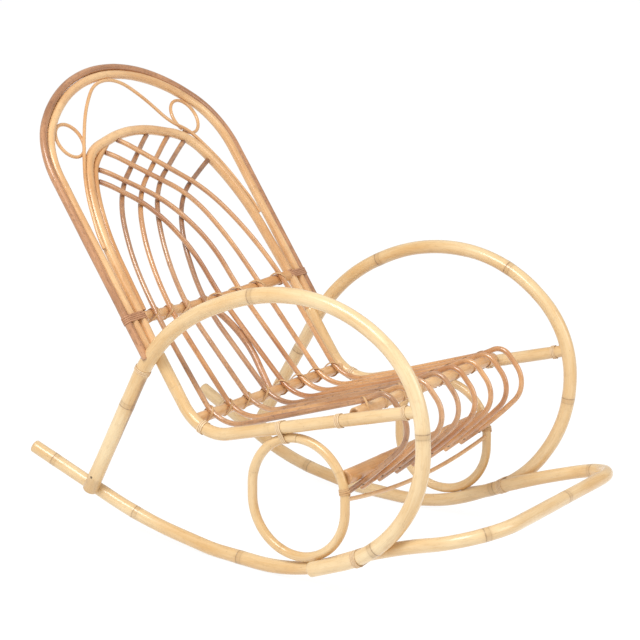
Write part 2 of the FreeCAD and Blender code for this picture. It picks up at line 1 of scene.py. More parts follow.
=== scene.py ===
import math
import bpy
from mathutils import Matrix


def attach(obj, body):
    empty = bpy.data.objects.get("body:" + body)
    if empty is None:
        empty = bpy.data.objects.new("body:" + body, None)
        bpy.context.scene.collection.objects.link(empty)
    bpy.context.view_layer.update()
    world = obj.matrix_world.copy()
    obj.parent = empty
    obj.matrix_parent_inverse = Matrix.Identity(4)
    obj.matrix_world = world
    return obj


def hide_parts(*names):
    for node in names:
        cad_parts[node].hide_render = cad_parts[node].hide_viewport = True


bl_info = {
    "name": "Rattan rocking chair",
    "version": (1, 0, 0),
    "blender": (4, 5, 0),
    "location": "3D View > Sidebar > Rocker",
    "description": "Builds the poles, bindings and nails of a rattan rocking chair on its fixed frame",
    "category": "Add Mesh",
}

import bpy
import numpy as np
from mathutils import Matrix, Vector

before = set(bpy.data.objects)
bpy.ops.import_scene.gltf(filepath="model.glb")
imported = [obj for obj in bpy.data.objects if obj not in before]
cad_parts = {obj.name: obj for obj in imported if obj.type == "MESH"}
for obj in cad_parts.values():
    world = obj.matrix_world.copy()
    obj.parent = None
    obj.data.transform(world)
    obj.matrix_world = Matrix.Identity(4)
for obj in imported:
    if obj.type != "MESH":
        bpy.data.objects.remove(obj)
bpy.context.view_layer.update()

# Lengths are in metres. X runs to the sitter's left, Y to the rear, Z up, floor at Z zero.
MM = 0.001

# Side view: the corner of seat and back, rake of the back, slope of the seat
CORNER_Y = 0.099
CORNER_Z = 0.236
RAKE = math.radians(33.14)
SEAT_SLOPE = math.radians(14.25)
CORNER_R = 0.095

# Arm hoops in side view, from above the foot round to the tail
HOOP_X = 0.285
FOOT_Y = 0.345
HOOP_RIGHT = (
    (0.165, 0.446), (-0.062, 0.540), (-0.245, 0.528), (-0.392, 0.413),
    (-0.402, 0.217), (-0.304, 0.082), (-0.165, 0.033),
)
HOOP_LEFT = (
    (0.139, 0.450), (-0.060, 0.544), (-0.252, 0.527), (-0.392, 0.401),
    (-0.400, 0.229), (-0.293, 0.070), (-0.165, 0.033),
)

# Runner in side view from rear tip to front bend, and how far it stands out past the hoop's tail
# The chair comes to rest on the straight stretch between the two rest points
RUNNER_TIP = (0.485, 0.167)
RUNNER_REAR = (0.240, 0.0515)
REST_REAR = (0.078, 0.0197)
REST_FRONT = (-0.118, 0.0077)
REST_R = 0.300
RUNNER_FRONT = (-0.296, 0.087)
FRONT_BEND = (-0.523, 0.151)
TIE_Y = -0.263
TIP_SPLAY = 0.024
WAIST_SPLAY = -0.0045
FRONT_SPLAY = 0.028

# Arches in the plane of the back: X and height up the slope from the corner
INNER_ARCH = ((0.243, 0.421), (0.211, 0.520), (0.162, 0.598))
INNER_TOP = 0.638
OUTER_ARCH_X = 0.2795
OUTER_SPRING = 0.554
OUTER_RISE = 0.201
OUTER_SIDE_R = 0.150
LEAN = 0.009
STRAND_END = 0.400
STRAND_RIGHT = ((-0.176, -0.31), (-0.114, 0.393), (-0.052, 0.9))
STRAND_LEFT = ((0.160, -0.29), (0.114, -0.085), (0.066, 0.48), (0.020, 0.9))
STRAND_Q = 0.0036
SCROLL_RIGHT = (math.radians(132.5), 0.95)
SCROLL_LEFT = (math.radians(51.3), 0.82)
LINER_END_X = 0.088

# Crossbars, side rings and strut
BACK_BAR_T = 0.254
BACK_BAR_BOW = 0.031
REAR_BAR = (0.1145, 0.267)
FRONT_BAR = (-0.240, 0.330)
LOWER_BAR_ANGLE = math.radians(152)
BOWED_ANGLE = math.radians(173)
BOWED_SAG = 0.021
STRUT_TOP_X = -0.012
STRUT_BOW = 0.045
RING_X = 0.264
RING_Y = -0.124
RING_HALF = 0.101

# Ribs: spacing, then X at the top and the two upper bends of each by the way it leans
RIB_PITCH = 0.062
RIB_LEFTWARD = (
    (0.054, (-0.128, 0.503), (-0.179, 0.382)),
    (0.113, (-0.072, 0.495), (-0.127, 0.387)),
    (0.155, (-0.017, 0.498), (-0.077, 0.378)),
    (0.199, (0.057, 0.477), (-0.005, 0.394)),
)
RIB_RIGHTWARD = (
    (0.071, (-0.128, 0.473), (-0.187, 0.372)),
    (0.119, (-0.071, 0.468), (-0.117, 0.366)),
    (0.162, (0.007, 0.465), (-0.059, 0.359)),
    (0.178, (0.062, 0.460), (0.007, 0.356)),
)
RIB_FRONT_Q = -0.0064
RIB_REAR_Q = 0.0054
RIB_CORNER = (0.078, 0.250)
RIB_CORNER_R = 0.080
RIB_NAMES = (1, 2, 3, 4, 8, 7, 6, 5)

# The nose that the ribs make ahead of the front crossbar, and how their ends turn in round the
# lower one: steps to the rear and up
NOSE_TOP = (-0.042, 0.023)
NOSE_FRONT = (-0.103, -0.049)
TURN_ABOVE = (-0.050, 0.014)
TURN_BELOW = (0.029, -0.048)

# Looks alone: lengths over which the ribs' tops and the liner's end close on the arch
RIB_CLOSE = 0.036
LINER_CLOSE = 0.07

# Clearance between poles that touch, and the step between the points of a centre line
FIT = 0.0001
LINE_STEP = 0.0015

# Rise of the peel in each turn of a strap and of a thin winding
STRAP_PITCH = 0.0038
THIN_PITCH = 0.0030

# Places of bindings and nails: strap behind the front crossbar, winding behind the hoop, wraps of
# the hoop's leg below the crossing in radii, nail above the runner, slant of the rib lashings
STRAP_BEHIND = 0.012
WINDING_BEHIND = 0.004
LEG_WRAP_DROPS = (1.6, 1.8)
NAIL_ABOVE = 0.022
LASHING_SLANT = math.radians(50)

# Rattan joints along a pole: places on the poles that the picture shows, from the pole's first end
HOOP_RIGHT_JOINTS = (0.205, 0.596, 1.066, 1.32)
HOOP_LEFT_JOINTS = (0.21, 0.506, 0.813, 1.115, 1.36)
RUNNER_JOINTS = (0.05, 0.251, 0.50, 0.77, 1.04, 1.30, 1.574, 1.80, 1.98, 2.25, 2.50)
JOINT_SPACING = 0.235

# The photograph's camera
CAMERA_AZIMUTH = math.radians(-57.0)
CAMERA_HEIGHT = math.radians(12.09)
CAMERA_DISTANCE = 4.1565
CAMERA_TARGET = (0.0, 0.0, 0.4255)
CAMERA_LENS = 121.5

ACROSS = (1, 0, 0)
UP = (0, 0, 1)


def linear(code):
    """Linear colour of an sRGB hex code."""
    parts = [int(code[i:i + 2], 16) / 255 for i in (1, 3, 5)]
    return tuple(p / 12.92 if p <= 0.04045 else ((p + 0.055) / 1.055) ** 2.4 for p in parts)


def length_property(name, description, default):
    return bpy.props.FloatProperty(
        name=name, description=description, default=default, min=0.0005, unit="LENGTH", precision=4)


def colour_property(name, description, code):
    return bpy.props.FloatVectorProperty(
        name=name, description=description, default=linear(code), size=3, min=0, max=1, subtype="COLOR")


class RockerSizes(bpy.types.PropertyGroup):
    """Diameters of the poles and sizes of the bindings"""

    hoop_d: length_property("Right hoop", "Diameter of the sitter's right arm hoop", 0.030)
    hoop_left_d: length_property("Left hoop", "Diameter of the sitter's left arm hoop", 0.027)
    runner_d: length_property("Runner", "Diameter of the runner pole", 0.026)
    rail_d: length_property("Seat rail", "Diameter of the seat rails", 0.024)
    bar_d: length_property("Crossbar", "Diameter of the back and seat crossbars", 0.022)
    lower_bar_d: length_property("Lower crossbar", "Diameter of the lower front crossbar", 0.028)
    inner_arch_d: length_property("Inner arch", "Diameter of the inner back arch", 0.020)
    outer_arch_d: length_property("Outer arch", "Diameter of the outer back arch", 0.018)
    trim_d: length_property("Trim pole", "Diameter of the dark pole round the outer arch", 0.015)
    liner_d: length_property("Liner", "Diameter of the pole inside the inner arch", 0.0126)
    rib_d: length_property("Rib", "Diameter of the ribs of back and seat", 0.0105)
    ring_d: length_property("Side ring", "Diameter of the side rings' pole", 0.018)
    strut_d: length_property("Centre strut", "Diameter of the strut behind the ribs", 0.014)
    strand_d: length_property("Strand", "Diameter of the pointed strand and the scroll rings", 0.007)
    bowed_d: length_property("Bowed strand", "Diameter of the strand under the lower crossbar", 0.008)
    peel_width: length_property("Peel width", "Width of the flat peel of the bindings", 0.0036)
    peel_deep: length_property("Peel thickness", "Thickness of the flat peel", 0.0014)
    thin_width: length_property("Thin peel width", "Width of the peel of the thin windings", 0.0028)
    nail_d: length_property("Nail head", "Diameter of the nail heads", 0.005)


class RockerColours(bpy.types.PropertyGroup):
    """Colours of the rattan and its fittings"""

    pale: colour_property("Pale rattan", "Light tone of hoops, runner and rails", "#F4DCB0")
    pale_deep: colour_property("Pale rattan, deep", "Deep tone of hoops, runner and rails", "#DDB276")
    golden: colour_property("Golden rattan", "Light tone of arches and crossbars", "#F0C894")
    golden_deep: colour_property("Golden rattan, deep", "Deep tone of arches and crossbars", "#CC935A")
    honey: colour_property("Honey rattan", "Light tone of the ribs", "#ECB77C")
    honey_deep: colour_property("Honey rattan, deep", "Deep tone of the ribs", "#AE6E3E")
    smoked: colour_property("Smoked rattan", "Light tone of the darker ribs", "#D8A676")
    smoked_deep: colour_property("Smoked rattan, deep", "Deep tone of the darker ribs", "#8A5636")
    trim: colour_property("Trim", "Light tone of the dark pole round the back", "#D29C70")
    trim_deep: colour_property("Trim, deep", "Deep tone of the dark pole round the back", "#804C2A")
    peel: colour_property("Peel", "Light tone of the straps and windings", "#FBE4BC")
    peel_deep: colour_property("Peel, deep", "Deep tone of the straps and windings", "#D9AB78")
    golden_peel: colour_property("Golden peel", "Light tone of the lashings", "#EAC492")
    golden_peel_deep: colour_property("Golden peel, deep", "Deep tone of the lashings", "#BE8850")
    red_peel: colour_property("Red peel", "Light tone of the straps at the back crossbar", "#D6A27C")
    red_peel_deep: colour_property("Red peel, deep", "Deep tone of those straps", "#9E6844")
    # The joint colour also darkens the painted shade in the peel windings' gaps and in the stain field
    joint_and_shade: colour_property("Joint line", "Dark line at each rattan joint", "#7A5236")
    nail: colour_property("Nail", "Dulled iron of the nail heads", "#7A6A58")


class RockerStage(bpy.types.PropertyGroup):
    """Light of the stage"""

    key: bpy.props.FloatProperty(
        name="Key light", description="Power of the soft box above the camera", default=84.0, unit="POWER")
    fill: bpy.props.FloatProperty(
        name="Fill light", description="Power of the soft box on the right", default=22.0, unit="POWER")
    sky: bpy.props.FloatProperty(
        name="Surrounding light", description="Strength of the white surroundings", default=0.56)


def unit(v):
    """Vector cut to length one."""
    v = np.asarray(v, float)
    return v / np.linalg.norm(v)


def length_of(path):
    return float(np.linalg.norm(np.diff(path, axis=0), axis=1).sum())


def distances(path):
    """Distance along a line from its first end to each of its points."""
    return np.concatenate([[0.0], np.cumsum(np.linalg.norm(np.diff(path, axis=0), axis=1))])


def between(s, along, vectors):
    """Vectors at the stations s, straight between those known along a line."""
    return np.stack([np.interp(s, along, vectors[:, i]) for i in range(3)], axis=1)


def circle(count):
    """Angles at equal steps once round."""
    return np.linspace(0, 2 * math.pi, count, endpoint=False)


def even(path, step=LINE_STEP):
    """Points at equal steps along a line of points."""
    along = distances(path)
    count = max(int(along[-1] / step), 2)
    return between(np.linspace(0.0, along[-1], count + 1), along, path)


def rounded(points, limit=None, step=LINE_STEP):
    """Straight runs joined by the largest tangent arcs: the arc at a corner has its middle on the
    corner's bisector, at radius over the cosine of half the turn; limit holds smaller radii."""
    pts = np.asarray(points, float)
    limit = limit or {}
    last_corner = len(pts) - 2
    run = np.linalg.norm(np.diff(pts, axis=0), axis=1)
    pieces = [pts[:1]]
    for i in range(1, last_corner + 1):
        a = unit(pts[i - 1] - pts[i])
        b = unit(pts[i + 1] - pts[i])
        half = (math.pi - math.acos(max(-1.0, min(1.0, float(a @ b))))) / 2
        if half < 0.0005:
            continue
        before = run[i - 1] * (1.0 if i == 1 else 0.5)
        after = run[i] * (1.0 if i == last_corner else 0.5)
        radius = min(before, after) / math.tan(half)
        radius = min(radius, limit.get(i, radius))
        inward = unit(a + b)
        onward = unit(b - a)
        turn = np.linspace(-half, half, max(int(2 * half * radius / step), 8))[:, None]
        centre = pts[i] + inward * radius / math.cos(half)
        pieces.append(centre - radius * np.cos(turn) * inward + radius * np.sin(turn) * onward)
    pieces.append(pts[-1:])
    return even(np.concatenate(pieces), step)


def mirrored(points):
    """Points of the sitter's other side."""
    return np.asarray(points) * (-1, 1, 1)


def nearest(a, b):
    """Distance from each point of a line to another line of closely spaced points."""
    apart = a[:, None, :] - b[None, :, :]
    return np.sqrt((apart ** 2).sum(-1).min(1))


def gap(a, b):
    """Least distance between two lines."""
    return float(nearest(a, b).min())


def closest(a, b):
    """Places in two lines of the two points that are nearest to each other."""
    apart = ((a[:, None] - b[None]) ** 2).sum(-1)
    return np.unravel_index(apart.argmin(), apart.shape)


def meet(path, start, end):
    """Point of a path nearest to a straight run."""
    run = np.asarray(end) - start
    share = np.clip(((path - start) @ run) / (run @ run), 0, 1)
    miss = path - start - share[:, None] * run
    return path[(miss ** 2).sum(1).argmin()]


def offset(points, distance):
    """Open outline moved to its left by a distance, with mitred corners."""
    pts = np.asarray(points, float)
    run = np.diff(pts, axis=0)
    left = np.stack([-run[:, 1], run[:, 0]], 1) / np.linalg.norm(run, axis=1)[:, None]
    before = np.concatenate([left[:1], left])
    after = np.concatenate([left, left[-1:]])
    share = distance / (1 + (before * after).sum(1))
    return pts + share[:, None] * (before + after)


class CentreLines:
    """Centre lines of all the poles, worked out from the sizes in the order the chair is fitted."""

    def __init__(self, sizes):
        self.size = sizes
        self.hoop_r = sizes.hoop_d / 2
        self.runner_r = sizes.runner_d / 2
        self.rail_r = sizes.rail_d / 2
        self.bar_r = sizes.bar_d / 2
        self.inner_r = sizes.inner_arch_d / 2
        self.trim_step = (sizes.outer_arch_d + sizes.trim_d) / 2 + FIT
        self.runner_x = HOOP_X - self.hoop_r - self.runner_r - FIT
        self.rail_x = HOOP_X - self.hoop_r - self.rail_r - FIT
        trim_top = OUTER_SPRING + OUTER_RISE + self.trim_step
        trim_top_y = CORNER_Y + trim_top * math.sin(RAKE)
        trim_top_z = CORNER_Z + trim_top * math.cos(RAKE)
        rest = np.subtract(REST_REAR, REST_FRONT)
        self.rear_way = np.array((0, rest[0], -rest[1])) / np.linalg.norm(rest)
        self.up_way = np.array((0, rest[1], rest[0])) / np.linalg.norm(rest)
        self.shift = np.zeros(3)
        front_edge = self.at(0, *FRONT_BEND)[1] - self.runner_r
        rear_edge = self.at(0, trim_top_y, trim_top_z)[1] + sizes.trim_d / 2
        floor_z = self.at(0, *REST_FRONT)[2] - self.runner_r
        self.shift = np.array((0, (front_edge + rear_edge) / 2, floor_z))
        self.up_back = unit(self.back(0, 1) - self.back(0, 0))
        self.back_out = np.cross((1, 0, 0), self.up_back)
        self.seat_ahead = self.up_way * math.sin(SEAT_SLOPE) - self.rear_way * math.cos(SEAT_SLOPE)
        self.runner = self.runner_line()
        left_x = HOOP_X - self.hoop_r + sizes.hoop_left_d / 2
        self.sides = [self.side(-1, HOOP_X, sizes.hoop_d, HOOP_RIGHT)]
        self.sides.append(self.side(1, left_x, sizes.hoop_left_d, HOOP_LEFT))
        self.join_t = self.sides[0]["join_t"]
        for one in self.sides:
            corner = self.back(one["sign"] * self.rail_x, 0)
            top = self.back(one["sign"] * self.rail_x, self.join_t)
            one["rail"] = rounded([one["rail_front"], corner, top], {1: CORNER_R})
            one["rail_run"] = unit(one["rail_front"] - corner)
        self.inner_side = [(-self.rail_x, self.join_t)] + [(-x, t) for x, t in INNER_ARCH]
        self.inner_half = self.inner_side + [(0, INNER_TOP)]
        inner = self.inner_half + [(-x, t) for x, t in reversed(self.inner_side)]
        self.inner = rounded([self.leaned(x, t) for x, t in inner])
        self.outer = self.three_centred(0.0)
        self.trim = self.three_centred(self.trim_step)
        self.back_bar = self.back_bar_line()
        self.rear_bar = self.between_rails(*REAR_BAR)
        self.front_bar = self.between_rails(*FRONT_BAR)
        self.ring = self.ring_line()
        self.liner = self.liner_line()
        lower = self.on_ring(LOWER_BAR_ANGLE, 0.004)
        end = np.array((-RING_X + 0.25 * sizes.ring_d, lower[1], lower[2]))
        self.lower_bar = even(np.stack([end, mirrored(end)]))
        bowed = self.on_ring(BOWED_ANGLE)
        low = np.array((0, bowed[1], bowed[2])) - self.up_way * 2 * BOWED_SAG
        self.bowed = rounded([bowed, low, mirrored(bowed)])
        ahead = self.back(STRUT_TOP_X, BACK_BAR_T)
        strut_top = meet(self.back_bar, ahead, self.back(STRUT_TOP_X, BACK_BAR_T, 0.2))
        strut_foot = self.at(0, *REAR_BAR)
        bend = strut_top * 0.7 + strut_foot * 0.3
        bend[0] = STRUT_BOW
        self.strut = rounded([strut_top, bend, strut_foot])

    def at(self, x, y, z):
        """Point of the side view, turned back until the rest stretch is level, set on the floor
        with the chair's length centred on Y zero."""
        return np.array((x, 0, 0)) + y * self.rear_way + z * self.up_way - self.shift

    def back(self, x, t, q=0.0):
        """Point of the back's plane: across, up the slope and rearward of the plane."""
        y = CORNER_Y + t * math.sin(RAKE) + q * math.cos(RAKE)
        z = CORNER_Z + t * math.cos(RAKE) - q * math.sin(RAKE)
        return self.at(x, y, z)

    def leaned(self, x, t, q=0.0):
        """Point of the back moved sideways by the lean of the inner arch at its height."""
        share = max(t - self.join_t, 0.0) / (INNER_TOP - self.join_t)
        return self.back(x - LEAN * share, t, q)

    def runner_line(self):
        """U of straight runs and tangent arcs, its left half mirrored from the right one."""
        x = self.runner_x
        half = [
            self.at(-x - TIP_SPLAY, *RUNNER_TIP),
            self.at(-x - WAIST_SPLAY, *RUNNER_REAR),
            self.at(-x - WAIST_SPLAY, *REST_REAR),
            self.at(-x, *REST_FRONT),
            self.at(-x, *RUNNER_FRONT),
            self.at(-x - FRONT_SPLAY, *FRONT_BEND),
        ]
        points = half + [mirrored(p) for p in reversed(half)]
        return rounded(points, {2: REST_R, len(points) - 3: REST_R})

    def side(self, sign, x, diameter, outline):
        """Hoop of one side and where the back's line and the seat's line cross it."""
        share = (FOOT_Y - RUNNER_REAR[0]) / (RUNNER_TIP[0] - RUNNER_REAR[0])
        foot_z = RUNNER_REAR[1] + share * (RUNNER_TIP[1] - RUNNER_REAR[1])
        points = [self.at(sign * x, FOOT_Y, foot_z)] + [self.at(sign * x, *p) for p in outline]
        hoop = rounded(points)
        corner = self.back(sign * x, 0)
        crossing = meet(hoop, corner, self.back(sign * x, OUTER_SPRING))
        front = meet(hoop, corner, corner + self.seat_ahead * 0.7)
        join_t = float(np.linalg.norm(crossing - corner))
        leg = unit(points[1] - points[0])
        return {"sign": sign, "x": sign * x, "d": diameter, "hoop": hoop, "crossing": crossing,
                "rail_front": front, "join_t": join_t, "foot": points[0], "leg_up": leg}

    def top_arc(self):
        """Radius of the outer arch's top arc and height of its middle: the radius at which that
        arc and the side arcs share tangents."""
        a = OUTER_ARCH_X
        r = OUTER_SIDE_R
        top_r = (a * a + OUTER_RISE ** 2 - 2 * a * r) / (2 * (OUTER_RISE - r))
        return top_r, OUTER_SPRING + OUTER_RISE - top_r

    def three_centred(self, step):
        """Arch of two side arcs and one top arc that share tangents, moved outward by a step."""
        a = OUTER_ARCH_X
        r = OUTER_SIDE_R
        top_r, top_t = self.top_arc()
        turn = math.atan2(top_r - OUTER_RISE, a - r)
        low = np.linspace(0, turn, 120)
        high = np.linspace(turn, math.pi / 2, 120)
        x = np.concatenate([a - r + (r + step) * np.cos(low), (top_r + step) * np.cos(high)])
        t = np.concatenate([OUTER_SPRING + (r + step) * np.sin(low), top_t + (top_r + step) * np.sin(high)])
        right = [(-a - step, self.sides[0]["join_t"])] + list(zip(-x, t))
        left = list(zip(x, t))[::-1] + [(a + step, self.sides[1]["join_t"])]
        return even(np.array([self.back(*p) for p in right + left]))

    def strand_lines(self):
        """Pointed strand beside the inner arch and under the outer one, and the two scroll rings."""
        strand_gap = self.inner_r + self.size.strand_d / 2 + FIT
        reach = (self.size.outer_arch_d + self.size.strand_d) / 2 + FIT
        crest = OUTER_SPRING + OUTER_RISE - INNER_TOP
        right = [(x, INNER_TOP + share * crest) for x, share in STRAND_RIGHT]
        left = [(x, INNER_TOP + share * crest) for x, share in STRAND_LEFT]
        beside = offset(self.inner_half[1:3][::-1] + [self.inner_half[0]], -(strand_gap + 0.8 * MM))
        top, low, end = beside
        share = (low[1] - STRAND_END) / (low[1] - end[1])
        lower = [(low[0] + share * (end[0] - low[0]), STRAND_END), tuple(low), tuple(top)]
        push = 0.0
        drop = 0.0
        for _ in range(8):
            right_leg = [(x - 0.8 * push, t + 0.6 * push) for x, t in right[:-1]]
            left_leg = [(x + 0.8 * push, t + 0.6 * push) for x, t in left[:-1]]
            upper = right_leg + [right[-1], left[-1]] + left_leg[::-1]
            upper = [(x, min(t, left[-1][1] - drop)) for x, t in upper]
            outline = [self.leaned(x, t, -STRAND_Q) for x, t in lower]
            outline += [self.back(x, t, -STRAND_Q) for x, t in upper]
            outline += [self.leaned(-x, t, -STRAND_Q) for x, t in reversed(lower)]
            strand = rounded(outline)
            push += strand_gap - gap(strand, self.inner)
            drop += reach - gap(strand, self.outer[np.abs(self.outer[:, 0]) < 0.2])
        return strand, [self.scroll_line(*SCROLL_RIGHT), self.scroll_line(*SCROLL_LEFT)]

    def scroll_line(self, direction, fill):
        """Nearly closed circle in the back's plane, its two ends facing each other on the side of
        the strand. It touches the outer arch in a direction from the top arc's middle, and its
        radius is a share of the free width to the inner arch."""
        strand_gap = self.inner_r + self.size.strand_d / 2 + FIT
        reach_outer = (self.size.outer_arch_d + self.size.strand_d) / 2 + FIT
        top_r, top_t = self.top_arc()
        radius = (OUTER_SPRING + OUTER_RISE - INNER_TOP) / 3
        reach = top_r - reach_outer - radius
        start = -0.8 if math.cos(direction) < 0 else math.pi + 0.8
        angle = np.linspace(start + 0.05, start + 2 * math.pi - 0.05, 160)[:, None]
        spokes = np.cos(angle) * (1, 0, 0) + np.sin(angle) * self.up_back
        for _ in range(16):
            x = reach * math.cos(direction)
            t = top_t + reach * math.sin(direction)
            line = self.back(x, t, STRAND_Q) + radius * spokes
            clear = gap(self.back(x, t)[None], self.inner) - strand_gap
            reach += gap(line, self.outer) - reach_outer
            radius += 0.4 * (fill * clear - radius)
        return line

    def back_bar_line(self):
        """One arc between the legs of the inner arch, bowed to the rear."""
        end = meet(self.inner, self.back(-2 * HOOP_X, BACK_BAR_T), self.back(0, BACK_BAR_T))
        self.bar_mid = -LEAN * (BACK_BAR_T - self.join_t) / (INNER_TOP - self.join_t)
        self.bar_half = -end[0] - 0.45 * self.inner_r + self.bar_mid
        points = [
            self.back(self.bar_mid - self.bar_half, BACK_BAR_T),
            self.back(self.bar_mid, BACK_BAR_T, 2 * BACK_BAR_BOW),
            self.back(self.bar_mid + self.bar_half, BACK_BAR_T),
        ]
        return rounded(points)

    def liner_line(self):
        """Line inside the inner arch at the two radii's distance, standing on the back crossbar;
        its last stretch closes on the arch by a square law."""
        liner_gap = self.inner_r + self.size.liner_d / 2 + FIT
        foot_t = BACK_BAR_T + self.bar_r + FIT
        push = 0.0
        for _ in range(6):
            inside = offset(self.inner_half, -(liner_gap + push))
            share = (foot_t - inside[0][1]) / (inside[1][1] - inside[0][1])
            foot = (inside[0][0] + share * (inside[1][0] - inside[0][0]), foot_t)
            rise = (inside[4][1] - inside[3][1]) / (inside[4][0] - inside[3][0])
            end = (-LINER_END_X, inside[3][1] + rise * (-LINER_END_X - inside[3][0]))
            points = [foot] + [tuple(p) for p in inside[1:4]] + [end]
            line = rounded([self.leaned(x, t) for x, t in points])
            push += liner_gap - gap(line, self.inner)
        pull = 0.7 * np.clip(1 - np.linalg.norm(line - line[-1], axis=1) / LINER_CLOSE, 0, 1) ** 2
        beside = ((line[:, None] - self.inner[None]) ** 2).sum(-1).argmin(1)
        return line + pull[:, None] * (self.inner[beside] - line)

    def between_rails(self, y, z):
        """Straight bar from rail to rail."""
        end = self.at(-self.rail_x, y, z)
        return even(np.stack([end, mirrored(end)]))

    def ring_line(self):
        """Tall oval of four large arcs that touches the rail above and the runner below."""
        ring_r = self.size.ring_d / 2
        half_z = RING_HALF
        self.ring_z = 1.5 * RING_HALF
        for _ in range(12):
            top = self.ring_z + half_z
            foot = self.ring_z - half_z
            corners = ((-1, top), (-1, foot), (1, foot), (1, top))
            gap_shade_fac = [self.at(-RING_X, RING_Y - 0.2 * MM, top)]
            gap_shade_fac += [self.at(-RING_X, RING_Y + side * RING_HALF, z) for side, z in corners]
            gap_shade_fac += [self.at(-RING_X, RING_Y + 0.2 * MM, top)]
            line = rounded(gap_shade_fac)
            up = gap(line, self.sides[0]["rail"]) - ring_r - self.rail_r - FIT
            down = gap(line, self.runner[self.runner[:, 0] < 0]) - ring_r - self.runner_r - FIT
            half_z += (up + down) / 2
            self.ring_z += (up - down) / 2
        return line

    def on_ring(self, angle, beyond=0.0):
        """Point of the right ring on a ray from its middle."""
        middle = self.at(-RING_X, RING_Y, self.ring_z)
        ray = self.rear_way * math.cos(angle) + self.up_way * math.sin(angle)
        return meet(self.ring, middle, middle + ray * 0.3) + ray * beyond

    def rib_lines(self):
        """Ribs moved off the four bars they lie on until each just touches. Their tops are cut
        off where they reach the arch or the liner, and bend into its plane by a square law."""
        bars = (self.back_bar, self.rear_bar, self.front_bar, self.lower_bar)
        rib_r = self.size.rib_d / 2
        reach = [self.bar_r + rib_r + FIT] * 3 + [self.size.lower_bar_d / 2 + rib_r + FIT]
        lines = []
        for k in range(8):
            moves = [0.0, 0.0, 0.0, 0.0]
            for _ in range(7):
                line = rounded(self.rib_points(k, moves), {4: RIB_CORNER_R}, 0.003)
                for i in range(4):
                    moves[i] += reach[i] - gap(line, bars[i][::2])
            depth = RIB_REAR_Q if k < 4 else RIB_FRONT_Q
            level = line + self.back_out * depth
            clear = np.minimum(nearest(level, self.inner) - self.inner_r,
                               nearest(level, self.liner) - self.size.liner_d / 2)
            line = line[np.argmax(clear > -2 * MM):]
            end = np.clip(1 - np.linalg.norm(line - line[0], axis=1) / RIB_CLOSE, 0, 1) ** 2
            lines.append(line + (0.55 * end)[:, None] * depth * self.back_out)
        return lines

    def rib_points(self, k, moves):
        """Corner points of rib k counted from the outside; moves shift it off the four bars."""
        top_x, first, second = (RIB_LEFTWARD + RIB_RIGHTWARD)[k]
        sign = 1 if k < 4 else -1
        depth = RIB_REAR_Q if k < 4 else RIB_FRONT_Q
        x = -sign * RIB_PITCH * (3.5 - k % 4)
        rib_r = self.size.rib_d / 2
        on_liner = sign < 0 and top_x > LINER_END_X + self.size.rib_d
        arch = self.liner if on_liner else self.inner
        lean_x = sign * top_x - LEAN
        top = meet(arch, self.back(lean_x, first[1]), self.back(lean_x, OUTER_SPRING + OUTER_RISE))
        top_t = float(np.linalg.norm(top - self.back(top[0], 0)))
        bar_q = BACK_BAR_BOW * (1 - (x / self.bar_half) ** 2) - self.bar_r - rib_r
        fy, fz = FRONT_BAR[0], FRONT_BAR[1] + self.bar_r + rib_r
        lower = self.lower_bar[0] * (0, 1, 1) + (x, 0, 0)
        lower -= moves[3] * (0.62 * self.rear_way + 0.79 * self.up_way)
        return [
            self.back(lean_x, top_t, depth),
            self.back(sign * first[0] - LEAN, first[1], depth),
            self.back(sign * second[0] - LEAN, second[1], depth),
            self.back(x - 0.4 * LEAN, BACK_BAR_T, bar_q - moves[0]),
            self.at(x, RIB_CORNER[0] - 0.84 * moves[1], RIB_CORNER[1] + 0.55 * moves[1]),
            self.at(x, fy, fz + moves[2]),
            self.at(x, fy + NOSE_TOP[0], fz + NOSE_TOP[1]),
            self.at(x, fy + NOSE_FRONT[0], fz + NOSE_FRONT[1]),
            lower + TURN_ABOVE[0] * self.rear_way + TURN_ABOVE[1] * self.up_way,
            lower + TURN_BELOW[0] * self.rear_way + TURN_BELOW[1] * self.up_way,
        ]


def skin(rows):
    """Corners, quads and triangles of a closed skin over rows of points; the first and last rows
    are single points."""
    count, around = rows.shape[:2]
    index = 1 + np.arange((count - 2) * around).reshape(count - 2, around)
    ahead = np.roll(index, -1, axis=1)
    quads = np.stack([index[:-1], ahead[:-1], ahead[1:], index[1:]], axis=-1).reshape(-1, 4)
    last = (count - 2) * around + 1
    start = np.stack([np.zeros(around, int), ahead[0], index[0]], axis=-1)
    end = np.stack([np.full(around, last), index[-1], ahead[-1]], axis=-1)
    return on_corners(rows, rows), quads, np.concatenate([start, end])


def on_corners(rows, values):
    """Values of a field, spread over the rows and listed corner by corner."""
    full = np.broadcast_to(values, rows.shape[:2] + values.shape[2:])
    return np.concatenate([full[:1, 0], full[1:-1].reshape((-1,) + values.shape[2:]), full[-1:, 0]])


def mesh_object(name, parts, material):
    """One object of closed skins: each part has its rows of points and its fields."""
    corners = []
    faces = []
    start = 0
    for rows, fields in parts:
        points, quads, triangles = skin(rows)
        corners.append(points)
        faces += (quads + start).tolist() + (triangles + start).tolist()
        start += len(points)
    mesh = bpy.data.meshes.new(name)
    mesh.from_pydata(np.concatenate(corners).tolist(), [], faces)
    for field in parts[0][1]:
        values = np.concatenate([on_corners(rows, fields[field]) for rows, fields in parts])
        vector = values.ndim == 2
        attribute = mesh.attributes.new(field, "FLOAT_VECTOR" if vector else "FLOAT", "POINT")
        attribute.data.foreach_set("vector" if vector else "value", values.astype(np.float32).ravel())
    mesh.shade_smooth()
    mesh.materials.append(material)
    piece = bpy.data.objects.new(name, mesh)
    bpy.context.scene.collection.objects.link(piece)
    return piece


def place(piece, node):
    """Piece rides on the chair and stands for its CAD node."""
    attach(piece, "root")
    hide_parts(node)


